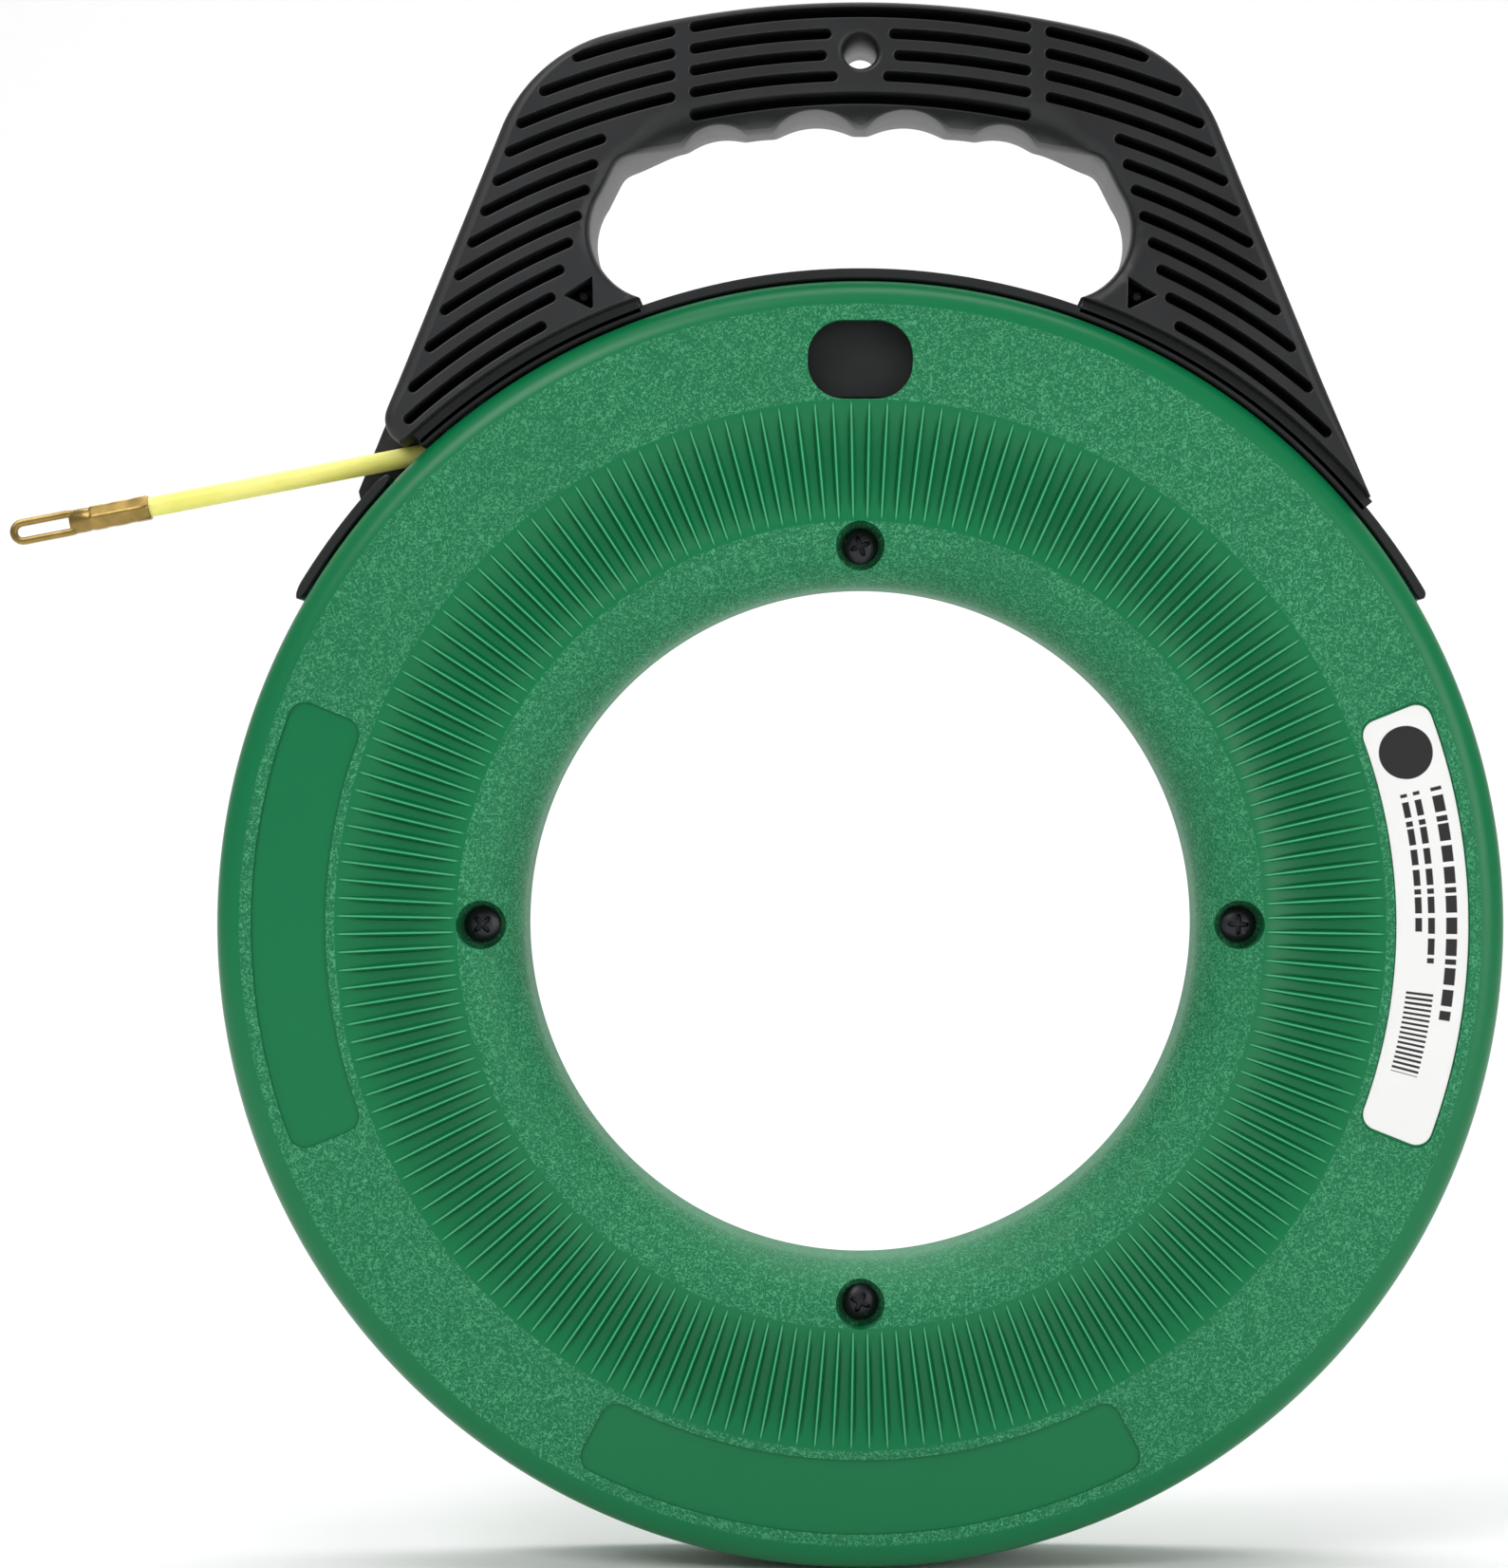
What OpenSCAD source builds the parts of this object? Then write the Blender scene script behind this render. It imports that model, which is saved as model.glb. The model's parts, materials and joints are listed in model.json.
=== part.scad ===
// Fish tape reel: a round two-part case that turns inside an arched handle and
// pays a nylon tape out through the handle's left foot.
// Every part is drawn lying down, as seen from the front: x right, y up and z
// towards the front, round the centre of the case. stand() then sets it upright.

/* [Case] */
// Outer radius of the case
case_r = 150.5; // [130:0.5:180]
// Thickness of the case, front to back
case_t = 44; // [36:1:60]
// Wall of the moulded case
wall = 2.6; // [2:0.2:3.5]
// Radius of the hand hole through the hub
hub_r = 79; // [60:0.2:90]
// Radius of the curve from the hub into the front face
hub_roll = 14.4; // [10:0.2:18]
// Radius of the curve at the outer edge of the face
rim_roll = 6.5; // [4:0.5:8]
// Width of the gap round the rim that the handle's neck runs in
rim_gap = 8.4; // [7:0.2:12]

/* [Rib band] */
// Inner radius of the ribbed band
rib_in_r = 94.2; // [80:0.2:100]
// Outer radius of the ribbed band
rib_out_r = 122.2; // [110:0.2:130]
// Depth of the hollow between the ribs
rib_dish = 1.8; // [1:0.1:2.5]
// Thickness of a rib
rib_w = 0.9; // [0.6:0.1:1.5]
// Number of ribs
rib_count = 180; // [60:4:240]

/* [Pads and peep window] */
// Inner radius of the smooth pads and of the label
pad_in_r = 124.4; // [120:0.2:130]
// Radial height of the pads
pad_h = 17.4; // [10:0.2:20]
// Depth of the pads
pad_depth = 0.6; // [0.3:0.1:1]
// Corner radius of the pads
pad_corner = 4; // [1:0.5:6]
// Angle that the side pads span
side_pad_span = 44; // [20:1:60]
// Angle that the bottom pad spans
base_pad_span = 56; // [20:1:80]
// Width of the peep window
peep_w = 24.5; // [15:0.5:30]
// Height of the peep window
peep_h = 18.4; // [10:0.2:20]
// Thickness of the label
label_t = 0.25; // [0.1:0.05:0.5]

/* [Case screws] */
// Radius of the circle of screws
screw_ring_r = 88.4; // [84:0.2:92]
// Number of screws
screw_count = 4; // [3:1:6]
// Radius of the screw's thread
screw_r = 2; // [1.5:0.1:2.5]
// Radius of the screw's head
screw_head_r = 4.2; // [3.5:0.1:5]
// Height of the screw's head
screw_head_h = 2.8; // [2:0.1:4]
// Radius of the recess that the head sits in
recess_r = 5.7; // [5:0.1:6.5]
// Depth of the recess below the front face
recess_depth = 7.5; // [5:0.5:10]

/* [Handle] */
// Thickness of the handle, front to back
handle_t = 38; // [30:1:44]
// Height of the handle's top above the strip
handle_rise = 61.6; // [50:0.2:80]
// Radius of the handle's arched top
handle_arc_r = 237; // [180:1:300]
// How much nearer the hub than the rim the legs' outer sides pass
side_inset = 2.6; // [0:0.1:8]
// Lean of the legs' outer sides from upright
side_lean = 22.1; // [15:0.1:30]
// How much nearer the hub than the top the bevelled shoulder lies
shoulder_drop = 16.8; // [12:0.2:24]
// Direction in which the shoulder faces
shoulder_turn = 48; // [40:1:60]
// Rounding of the handle's long edges
handle_edge = 4; // [1:0.5:6]
// Rounding of the shoulders' edges
shoulder_edge = 5; // [1.5:0.5:7]
// Radius of the hanging hole
hang_r = 4.1; // [3:0.1:6]
// Distance of the hanging hole below the top
hang_drop = 11.5; // [10:0.1:16]

/* [Grip slots] */
// Height of the lowest row of slots above the strip
slot_rise = 4.4; // [3.5:0.1:8]
// Distance between rows
slot_pitch = 4.98; // [4.5:0.01:5.5]
// Width of a slot
slot_w = 2.4; // [2:0.1:3]
// Thickness of the web between the front and rear slots
slot_web = 3; // [2:0.5:6]

/* [Rail] */
// Running gap between the rail and the case
rail_gap = 0.8; // [0.4:0.1:1.5]
// Thickness of the strip that rides outside the rim
strip_t = 2.5; // [2:0.1:4]
// Width of the strip, front to back
strip_w = 28; // [20:1:36]
// Angle that the strip spans
strip_span = 120; // [90:1:150]
// Inner radius of the guide channel inside the case
guide_in_r = 123.2; // [118:0.2:130]
// Width of the guide channel inside the case
guide_w = 28; // [20:1:34]

/* [Tape] */
// Diameter of the tape
tape_d = 4.8; // [3:0.1:6.5]
// Radius at which the straight run of tape leaves the winding
tape_leave_r = 129; // [126:0.5:132]
// Slope of the tape below level
tape_drop = 11; // [5:0.5:15]
// Length of tape between the case and the eye
tape_out = 69.4; // [30:0.1:200]
// Inner radius of the wound tape
coil_in_r = 98.4; // [96:0.2:105]
// Outer radius of the wound tape
coil_out_r = 122; // [115:0.2:122]
// Width of the wound tape
coil_w = 24; // [15:1:28]

/* [Pulling eye] */
// Length of the crimped sleeve
sleeve_l = 14; // [10:0.5:20]
// Wall of the six-sided sleeve at its corners
sleeve_wall = 0.9; // [0.7:0.05:1.5]
// Length of the collar
collar_l = 5.4; // [3:0.2:8]
// Length of the flat loop
loop_l = 14.4; // [10:0.2:20]
// Width of the flat loop
loop_w = 6.1; // [5:0.1:8]
// Thickness of the flat loop
loop_t = 2.4; // [1.5:0.1:4]
// Width of the slot in the loop
loop_slot = 2.6; // [2:0.1:3.5]

/* [Hidden] */
$fn = 96;
cut = 1;                                    // how far a cutting solid runs past a face
half_t = case_t / 2;
land_h = half_t - hub_roll;                 // straight part of the hub hole, each side
hub_c_r = hub_r + hub_roll;                 // centre of the hub curve
rim_c_r = case_r - rim_roll;                // centre of the rim curve
rim_c_z = half_t - rim_roll;
inner_top = half_t - wall;                  // inner face of the front wall
band_inner_top = inner_top - rib_dish;      // the same under the rib band
band_mid_r = (rib_in_r + rib_out_r) / 2;
band_half = (rib_out_r - rib_in_r) / 2;
dish_r = (band_half * band_half + rib_dish * rib_dish) / (2 * rib_dish);
pad_out_r = pad_in_r + pad_h;
peep_r = rib_out_r + peep_h / 2 + 0.2;      // the peep window's distance from the hub
peep_corner = 8.4;

recess_z = half_t - recess_depth;           // floor of a screw recess
seat_t = 3;                                 // thickness of that floor
seat_z = recess_z - seat_t;                 // where the two cases' posts meet
post_r = recess_r + 1.8;
rear_post_r = 5.4;
shank_l = 22;
pilot_fit = 0.1;                            // how much smaller than the thread the pilot hole is
shank_clear = 0.3;

strip_in_r = case_r + rail_gap;
strip_out_r = strip_in_r + strip_t;
ledge_r = strip_out_r + 1.6;                // the legs' faces start here
neck_w = rim_gap - 2 * rail_gap;
channel_out_r = case_r - wall - rail_gap - 0.4;
channel_t = 2.4;                            // wall of the guide channel
channel_span = strip_span - 8;
half_handle = handle_t / 2;
handle_top = strip_out_r + handle_rise;
arc_c = handle_top - handle_arc_r;          // height of the arched top's centre
side_reach = case_r - side_inset;
shoulder_reach = handle_top - shoulder_drop;
hang_z = handle_top - hang_drop;
slot_first_r = strip_out_r + slot_rise;
leg_foot = 70;                              // the legs are drawn down to here

finger_r = [14.5, 11.8];                    // radii of the finger scallops
finger_x = [10.5, 32.5];                    // places of the scallops each side of the middle
finger_top = [36.8, 33.6];                  // heights of the scallops above the strip

side_face = side_reach - 3;                 // where the slots end beside the outer side
inner_lean = 17.8;
inner_face = 65.7 + strip_out_r * sin(inner_lean);    // where the leg slots end beside the window
grip_web = [40, 43];                        // the upright web between leg and grip slots
slot_rows = 12;
leg_rows = 8;                               // rows that end beside the window
grip_row = 7;                               // lowest row of the grip

boss_r = 7.6;                               // plain ring round the hanging hole
tri_at = [64.9, strip_out_r - 7.1];         // three-sided pocket beside the window
tri_r = 4.2;
tri_depth = 7;

tape_r = tape_d / 2;
exit_r = case_r;
hidden_l = sqrt(exit_r * exit_r - tape_leave_r * tape_leave_r);
sleeve_s = hidden_l + tape_out;             // the sleeve's place along the tape
crimp_l = sleeve_l - 2;                     // tape inside the sleeve
tape_gap = tape_r + 1.9;                    // half width of the way left for the tape
tape_way = 30;                              // how far the way runs on past the rim
notch_leg = [2.1, -6.5];                    // rounded end of the left leg, from where the
notch_leg_r = 6.4;                          // tape leaves the rim: out along it, then down
notch_nose = [11.5, 14.1];                  // rounded nose of the strip below the tape
notch_nose_r = 8.1;
notch_edge = [[-4.8, 1.2], [4.1, -6.9], [31.5, -12.2], [40.9, 8.4], [11.5, 14.1], [5.7, 5.4]];
sleeve_w = tape_d + 2 * sleeve_wall;        // across the six corners

anchor_t = 4;
anchor_fit = 0.2;                           // room round the anchor's ring, in and out
anchor_turn = 270;                          // the post that holds the tape's inner end

green = [0.02, 0.42, 0.25];
black = [0.07, 0.07, 0.08];
steel = [0.10, 0.10, 0.11];
white = [0.95, 0.95, 0.94];
yellow = [0.95, 0.93, 0.45];
brass = [0.62, 0.47, 0.22];

// Sets a flat-lying piece upright: its z side faces the front.
module stand() {
    rotate([90, 0, 0]) children();
}

// A pie slice, up to half a circle, from angle a0 to angle a1.
module slice(a0, a1, reach = 400) {
    mid = (a0 + a1) / 2;
    polygon([[0, 0],
             reach * [cos(a0), sin(a0)],
             reach * [cos(mid), sin(mid)],
             reach * [cos(a1), sin(a1)]]);
}

// A flat piece of a ring.
module arc_band(r0, r1, a0, a1) {
    intersection() {
        difference() {
            circle(r1);
            circle(r0);
        }
        slice(a0, a1);
    }
}

// A bent slot, its middle line on radius r.
module bent_slot(r, w, a0, a1) {
    arc_band(r - w / 2, r + w / 2, a0, a1);
}

// A bent pad with rounded corners.
module bent_pad(r0, r1, mid, span, c) {
    in_c = asin(c / (r0 + c));
    out_c = asin(c / (r1 - c));
    a0 = mid - span / 2;
    a1 = mid + span / 2;
    difference() {
        arc_band(r0, r1, a0, a1);
        for (a = [a0, a1]) {
            side = a < mid ? 1 : -1;
            rotate(a) corner_cut(r0, c, side, in_c, 1);
            rotate(a) corner_cut(r1, c, side, out_c, -1);
        }
    }
}

// What rounding takes off one corner of a bent pad.
module corner_cut(r, c, side, turn, out) {
    difference() {
        translate([out > 0 ? r - cut : r - c, side > 0 ? -cut : -c - 0.2])
            square([c + cut, c + cut + 0.2]);
        rotate(side * turn) translate([r + out * c, 0]) circle(c, $fn = 48);
    }
}

// ---- Case ----------------------------------------------------------------

// Half section of the solid case, to the front of its middle plane.
module case_section() {
    difference() {
        union() {
            translate([hub_c_r, 0]) square([rim_c_r - hub_c_r, half_t]);
            translate([hub_r, 0]) square([hub_roll, land_h]);
            translate([rim_c_r, 0]) square([rim_roll, rim_c_z]);
            translate([hub_c_r, land_h]) circle(hub_roll);
            translate([rim_c_r, rim_c_z]) circle(rim_roll);
        }
        translate([band_mid_r, half_t + dish_r - rib_dish]) circle(dish_r, $fn = 180);
        translate([0, -half_t]) square([case_r + cut, half_t]);
    }
}

// Half section of the room inside the case.
module room_section() {
    difference() {
        union() {
            translate([hub_c_r, -cut]) square([rim_c_r - hub_c_r, inner_top + cut]);
            translate([hub_r + wall, -cut]) square([hub_roll, land_h + cut]);
            translate([rim_c_r, -cut]) square([rim_roll - wall, rim_c_z + cut]);
            translate([hub_c_r, land_h]) circle(hub_roll - wall);
            translate([rim_c_r, rim_c_z]) circle(rim_roll - wall);
        }
        translate([hub_r, band_inner_top]) square([rib_out_r - hub_r, wall + rib_dish]);
        translate([0, -half_t - cut]) square([case_r, half_t]);
    }
}

// One half of the case, with its rim cut back for the handle's neck.
module case_shell() {
    difference() {
        rotate_extrude($fn = 180) case_section();
        rotate_extrude($fn = 180) room_section();
        rotate_extrude($fn = 180) translate([rim_c_r, -cut])
            square([rim_roll + cut, rim_gap / 2 + cut]);
    }
}

// The ribs that cross the hollow of the band.
module ribs() {
    rib_z = band_inner_top + wall / 2;
    for (i = [0 : rib_count - 1])
        rotate(360 / rib_count * (i + 0.5))
            translate([rib_in_r + 0.4, -rib_w / 2, rib_z])
                cube([rib_out_r - rib_in_r - 0.8, rib_w, half_t - rib_z]);
}

module at_screws() {
    for (i = [0 : screw_count - 1])
        rotate(90 + 360 / screw_count * i) translate([screw_ring_r, 0, 0]) children();
}

module pads(side) {
    for (a = side > 0 ? [0, 180] : [180])
        bent_pad(pad_in_r, pad_out_r, a, side_pad_span, pad_corner);
    bent_pad(pad_in_r, pad_out_r, 270, base_pad_span, pad_corner);
}

module peep_window() {
    w = peep_w / 2 - peep_corner;
    h = peep_h / 2 - peep_corner;
    translate([0, peep_r]) {
        square([peep_w, 2 * h], center = true);
        square([2 * w, peep_h], center = true);
        for (x = [-w, w], y = [-h, h]) translate([x, y]) circle(peep_corner, $fn = 48);
    }
}

module front_case() {
    color(green) stand() difference() {
        union() {
            case_shell();
            ribs();
            intersection() {
                at_screws() translate([0, 0, seat_z]) cylinder(r = post_r, h = half_t, $fn = 48);
                rotate_extrude($fn = 180) case_section();
            }
        }
        at_screws() translate([0, 0, recess_z]) cylinder(r = recess_r, h = half_t, $fn = 48);
        at_screws() cylinder(r = screw_r + shank_clear, h = half_t, $fn = 32);
        translate([0, 0, half_t - pad_depth]) linear_extrude(pad_depth + cut) pads(1);
        translate([0, 0, band_inner_top - cut]) linear_extrude(case_t) peep_window();
    }
}

module rear_case() {
    color(green) stand() difference() {
        union() {
            mirror([0, 0, 1]) case_shell();
            mirror([0, 0, 1]) ribs();
            at_screws() translate([0, 0, -inner_top - 0.5])
                cylinder(r = rear_post_r, h = inner_top + 0.5 + seat_z, $fn = 48);
        }
        at_screws() translate([0, 0, recess_z - shank_l - 1])
            cylinder(r = screw_r - pilot_fit, h = case_t, $fn = 32);
        translate([0, 0, -half_t - cut]) linear_extrude(pad_depth + cut) pads(-1);
    }
}

// Pan head with a cross-shaped drive.
module case_screw() {
    drive_w = 1.1;
    drive_l = 4.6;
    difference() {
        union() {
            translate([0, 0, recess_z]) cylinder(r = screw_head_r, h = screw_head_h - 1, $fn = 48);
            translate([0, 0, recess_z + screw_head_h - 1])
                rotate_extrude($fn = 48) intersection() {
                    square([screw_head_r, 1]);
                    translate([0, 1 - screw_head_r * 2.4]) circle(screw_head_r * 2.4, $fn = 96);
                }
            translate([0, 0, recess_z - shank_l + 2]) cylinder(r = screw_r, h = shank_l, $fn = 32);
            translate([0, 0, recess_z - shank_l]) cylinder(r1 = 0.8, r2 = screw_r, h = 2, $fn = 32);
        }
        for (a = [0, 90]) rotate(a) translate([-drive_l / 2, -drive_w / 2, recess_z + 0.9])
            cube([drive_l, drive_w, screw_head_h]);
    }
}

module case_screws() {
    color(steel) stand() at_screws() rotate(20) case_screw();
}

module label() {
    color(white) stand() translate([0, 0, half_t - pad_depth]) linear_extrude(label_t)
        bent_pad(pad_in_r + 0.3, pad_out_r - 0.3, 0, side_pad_span - 0.6, pad_corner - 0.3);
}

// ---- Handle --------------------------------------------------------------

// Section of a slab whose far end, at x = reach, has rounded edges.
module edge_section(reach, e, from = 0) {
    translate([from, -half_handle]) square([reach - e - from, handle_t]);
    translate([reach - e - cut, -half_handle + e]) square([e + cut, handle_t - 2 * e]);
    for (s = [-1, 1]) translate([reach - e, s * (half_handle - e)]) circle(e, $fn = 32);
}

// A half space with rounded edges, that ends at a distance in one direction.
module edge_slab(turn, reach, e) {
    rotate(turn) rotate([90, 0, 0]) linear_extrude(600, center = true)
        edge_section(reach, e, -400);
}

// The whole arch before anything is cut out of it.
module arch() {
    intersection() {
        translate([0, arc_c, 0]) rotate_extrude($fn = 360) edge_section(handle_arc_r, handle_edge);
        edge_slab(side_lean, side_reach, handle_edge);
        edge_slab(180 - side_lean, side_reach, handle_edge);
        edge_slab(shoulder_turn, shoulder_reach, shoulder_edge);
        edge_slab(180 - shoulder_turn, shoulder_reach, shoulder_edge);
        translate([-200, leg_foot, -half_handle]) cube([400, 200, handle_t]);
    }
}

// The finger window: straight sides, round lower corners and four scallops.
module finger_window() {
    low_r = 16.2;
    low = [47, 8.4];
    difference() {
        translate([0, strip_out_r]) for (s = [-1, 1]) scale([s, 1]) {
            polygon([[0, -13.8], [low[0], -13.8], [60.3, 17.7], [57.6, 22.9], [56.4, 24.7],
                     [54.6, 25.8], [43.7, 28.9], [24, 32.6], [0, 33.5]]);
            translate(low) circle(low_r, $fn = 64);
            for (i = [0, 1]) translate([finger_x[i], finger_top[i] - finger_r[i]])
                circle(finger_r[i], $fn = 64);
        }
        circle(strip_out_r, $fn = 180);
    }
}

function row_r(k) = slot_first_r + slot_pitch * k;

// Angle at which a circle of radius r meets a line that leans and lies d away.
function meet(r, d, lean) = lean + acos(d / r);

// The angle at which row k ends near the outer side or the shoulder.
function outer_end(k) =
    max(meet(row_r(k), side_face, side_lean),
        row_r(k) > shoulder_reach - 3 ? meet(row_r(k), shoulder_reach - 4, shoulder_turn) : 0);

// The angle at which row k ends beside the window or the upright web.
function inner_end(k) =
    k < leg_rows ? meet(row_r(k), inner_face, inner_lean) : acos(grip_web[1] / row_r(k));

module grip_slots() {
    for (s = [-1, 1]) scale([s, 1]) {
        for (k = [0 : slot_rows - 1])
            bent_slot(row_r(k), slot_w, outer_end(k), inner_end(k));
        for (k = [grip_row : slot_rows - 1])
            bent_slot(row_r(k), slot_w, acos(grip_web[0] / row_r(k)),
                      k == grip_row || k == slot_rows - 1 ? 90.1
                      : acos(sqrt(max(0, boss_r * boss_r - pow(row_r(k) - hang_z, 2))) / row_r(k)));
        translate(tri_at) circle(tri_r, $fn = 3);
    }
}

// Strip outside the rim, neck in the gap and guide channel inside the case.
module rail() {
    a0 = 90 - strip_span / 2;
    c0 = 90 - channel_span / 2;
    linear_extrude(strip_w, center = true) arc_band(strip_in_r, strip_out_r, a0, 180 - a0);
    linear_extrude(neck_w, center = true)
        arc_band(channel_out_r - 1, strip_in_r + 1, c0, 180 - c0);
    linear_extrude(guide_w, center = true)
        arc_band(channel_out_r - channel_t, channel_out_r, c0, 180 - c0);
    for (s = [-1, 1]) translate([0, 0, s * (guide_w - channel_t) / 2])
        linear_extrude(channel_t, center = true)
            arc_band(guide_in_r, channel_out_r - 0.5, c0, 180 - c0);
}

// Places its children on the tape's line, x along the tape and out of the case,
// starting a distance s from where the tape leaves the winding.
module on_tape(s) {
    rotate(180 + tape_drop) translate([s, -tape_leave_r, 0]) children();
}

// The way out for the tape, open to the front between the leg and the nose.
module tape_notch() {
    on_tape(10) translate([0, -tape_gap, -tape_gap])
        cube([hidden_l - 10 + tape_way, 2 * tape_gap, 2 * tape_gap]);
    on_tape(hidden_l) translate([0, 0, -tape_gap]) linear_extrude(handle_t) difference() {
        polygon(notch_edge);
        translate(notch_leg) circle(notch_leg_r, $fn = 48);
        translate(notch_nose) circle(notch_nose_r, $fn = 48);
    }
}

module handle() {
    color(black) stand() difference() {
        union() {
            difference() {
                arch();
                for (s = [-1, 1]) translate([0, 0, s * (strip_w / 2 + 20)])
                    cylinder(r = ledge_r, h = 40, center = true, $fn = 180);
                cylinder(r = strip_in_r + 0.6, h = case_t, center = true, $fn = 180);
                translate([0, 0, -handle_t]) linear_extrude(2 * handle_t) finger_window();
                for (s = [-1, 1]) translate([0, 0, s * (slot_web + handle_t) / 2])
                    linear_extrude(handle_t, center = true) grip_slots();
            }
            rail();
        }
        tape_notch();
        translate([0, hang_z, 0]) cylinder(r = hang_r, h = case_t, center = true, $fn = 48);
    }
}

// ---- Tape ----------------------------------------------------------------

module tape_coil() {
    c = 2;
    color(yellow) stand() rotate_extrude($fn = 180) {
        translate([coil_in_r, -coil_w / 2 + c]) square([coil_out_r - coil_in_r, coil_w - 2 * c]);
        translate([coil_in_r + c, -coil_w / 2]) square([coil_out_r - coil_in_r - 2 * c, coil_w]);
        for (x = [coil_in_r + c, coil_out_r - c], y = [-1, 1])
            translate([x, y * (coil_w / 2 - c)]) circle(c, $fn = 24);
    }
}

// Ring round a post, with a short sleeve that grips the tape's inner end.
module tape_anchor() {
    ring_in = rear_post_r + anchor_fit;
    ring_out = screw_ring_r - hub_r - wall - anchor_fit;
    color(steel) stand() rotate(anchor_turn) translate([screw_ring_r, 0, 0]) difference() {
        union() {
            cylinder(r = ring_out, h = anchor_t, center = true, $fn = 48);
            translate([ring_in, 0, -anchor_t / 2]) cube([coil_in_r - screw_ring_r - ring_in, 9, anchor_t]);
        }
        cylinder(r = ring_in, h = anchor_t + 2 * cut, center = true, $fn = 48);
    }
}

module tape_tail() {
    color(yellow) stand() on_tape(0) rotate([0, 90, 0])
        cylinder(r = tape_r, h = sleeve_s + crimp_l, $fn = 32);
}

module pull_eye() {
    color(brass) stand() on_tape(sleeve_s) {
        difference() {
            rotate([0, 90, 0]) rotate(30) cylinder(d = sleeve_w, h = sleeve_l, $fn = 6);
            translate([-cut, 0, 0]) rotate([0, 90, 0]) cylinder(r = tape_r, h = crimp_l + cut, $fn = 32);
        }
        translate([sleeve_l - 0.4, 0, 0]) rotate([0, 90, 0])
            cylinder(d = loop_w, h = collar_l + 0.4, $fn = 48);
        translate([sleeve_l + collar_l - 0.6, 0, -loop_t / 2]) linear_extrude(loop_t) difference() {
            union() {
                translate([0, -loop_w / 2]) square([loop_l + 0.6 - loop_w / 2, loop_w]);
                translate([loop_l + 0.6 - loop_w / 2, 0]) circle(d = loop_w, $fn = 48);
            }
            translate([0.6 + loop_slot / 2, -loop_slot / 2])
                square([loop_l - 1.8 - loop_slot, loop_slot]);
            for (x = [0.6 + loop_slot / 2, loop_l - 1.2 - loop_slot / 2])
                translate([x, 0]) circle(d = loop_slot, $fn = 24);
        }
    }
}

front_case();
rear_case();
case_screws();
label();
handle();
tape_coil();
tape_anchor();
tape_tail();
pull_eye();
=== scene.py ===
import json
import math

import bpy
import numpy as np
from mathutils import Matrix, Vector
from mathutils.geometry import delaunay_2d_cdt


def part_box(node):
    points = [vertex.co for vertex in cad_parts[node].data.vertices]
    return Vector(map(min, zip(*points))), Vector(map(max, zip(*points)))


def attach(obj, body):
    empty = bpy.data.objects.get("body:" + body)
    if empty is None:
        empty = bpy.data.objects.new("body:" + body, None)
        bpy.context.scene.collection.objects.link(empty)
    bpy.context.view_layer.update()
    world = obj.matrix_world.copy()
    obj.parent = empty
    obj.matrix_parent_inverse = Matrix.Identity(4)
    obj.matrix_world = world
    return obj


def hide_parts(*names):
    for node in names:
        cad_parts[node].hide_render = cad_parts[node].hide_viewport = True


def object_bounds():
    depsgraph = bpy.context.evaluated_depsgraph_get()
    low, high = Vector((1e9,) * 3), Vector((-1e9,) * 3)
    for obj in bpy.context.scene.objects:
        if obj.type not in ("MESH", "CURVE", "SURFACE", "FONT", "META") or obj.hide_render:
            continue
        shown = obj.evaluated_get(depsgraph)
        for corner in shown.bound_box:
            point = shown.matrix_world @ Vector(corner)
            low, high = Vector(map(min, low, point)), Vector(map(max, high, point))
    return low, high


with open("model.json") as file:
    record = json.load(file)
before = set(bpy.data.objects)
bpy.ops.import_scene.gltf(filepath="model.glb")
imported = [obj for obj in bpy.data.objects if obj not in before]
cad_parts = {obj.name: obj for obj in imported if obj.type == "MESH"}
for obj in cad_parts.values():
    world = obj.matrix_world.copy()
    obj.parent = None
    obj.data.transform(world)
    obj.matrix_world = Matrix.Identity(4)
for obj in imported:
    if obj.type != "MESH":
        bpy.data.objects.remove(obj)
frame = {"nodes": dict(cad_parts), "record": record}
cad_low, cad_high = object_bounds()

bl_info = {
    "name": "Fish Tape Reel",
    "version": (1, 0, 0),
    "blender": (4, 5, 0),
    "location": "3D View > Sidebar > Reel",
    "description": "Builds a fish tape reel: ribbed case, slotted handle, wound tape and brass eye",
    "category": "Add Mesh",
}

MM = 0.001
CASE_LOW, CASE_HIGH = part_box("front_case")
HANDLE_LOW, HANDLE_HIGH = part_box("handle")
COIL_LOW, COIL_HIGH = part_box("tape_coil")
HUB = next(m for m in frame["record"]["mounts"] if m["name"] == "hub_bore")
HANG = next(m for m in frame["record"]["mounts"] if m["name"] == "hang_hole")
TAPE_WAY = 4.3 * MM     # half the width that every part of the handle leaves open for the tape


# ---- Sizes and colours ---------------------------------------------------

def size(name, description, default):
    """A length in metres that a user can change."""
    return bpy.props.FloatProperty(
        name=name, description=description, default=default, subtype="DISTANCE", unit="LENGTH")


def turn(name, description, default):
    """An angle, given in degrees and kept in radians."""
    return bpy.props.FloatProperty(
        name=name, description=description, default=math.radians(default), subtype="ANGLE", unit="ROTATION")


def paint(name, description, default):
    """A linear colour that a user can change."""
    return bpy.props.FloatVectorProperty(
        name=name, description=description, default=default, subtype="COLOR", size=3, min=0, max=1)


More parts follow.
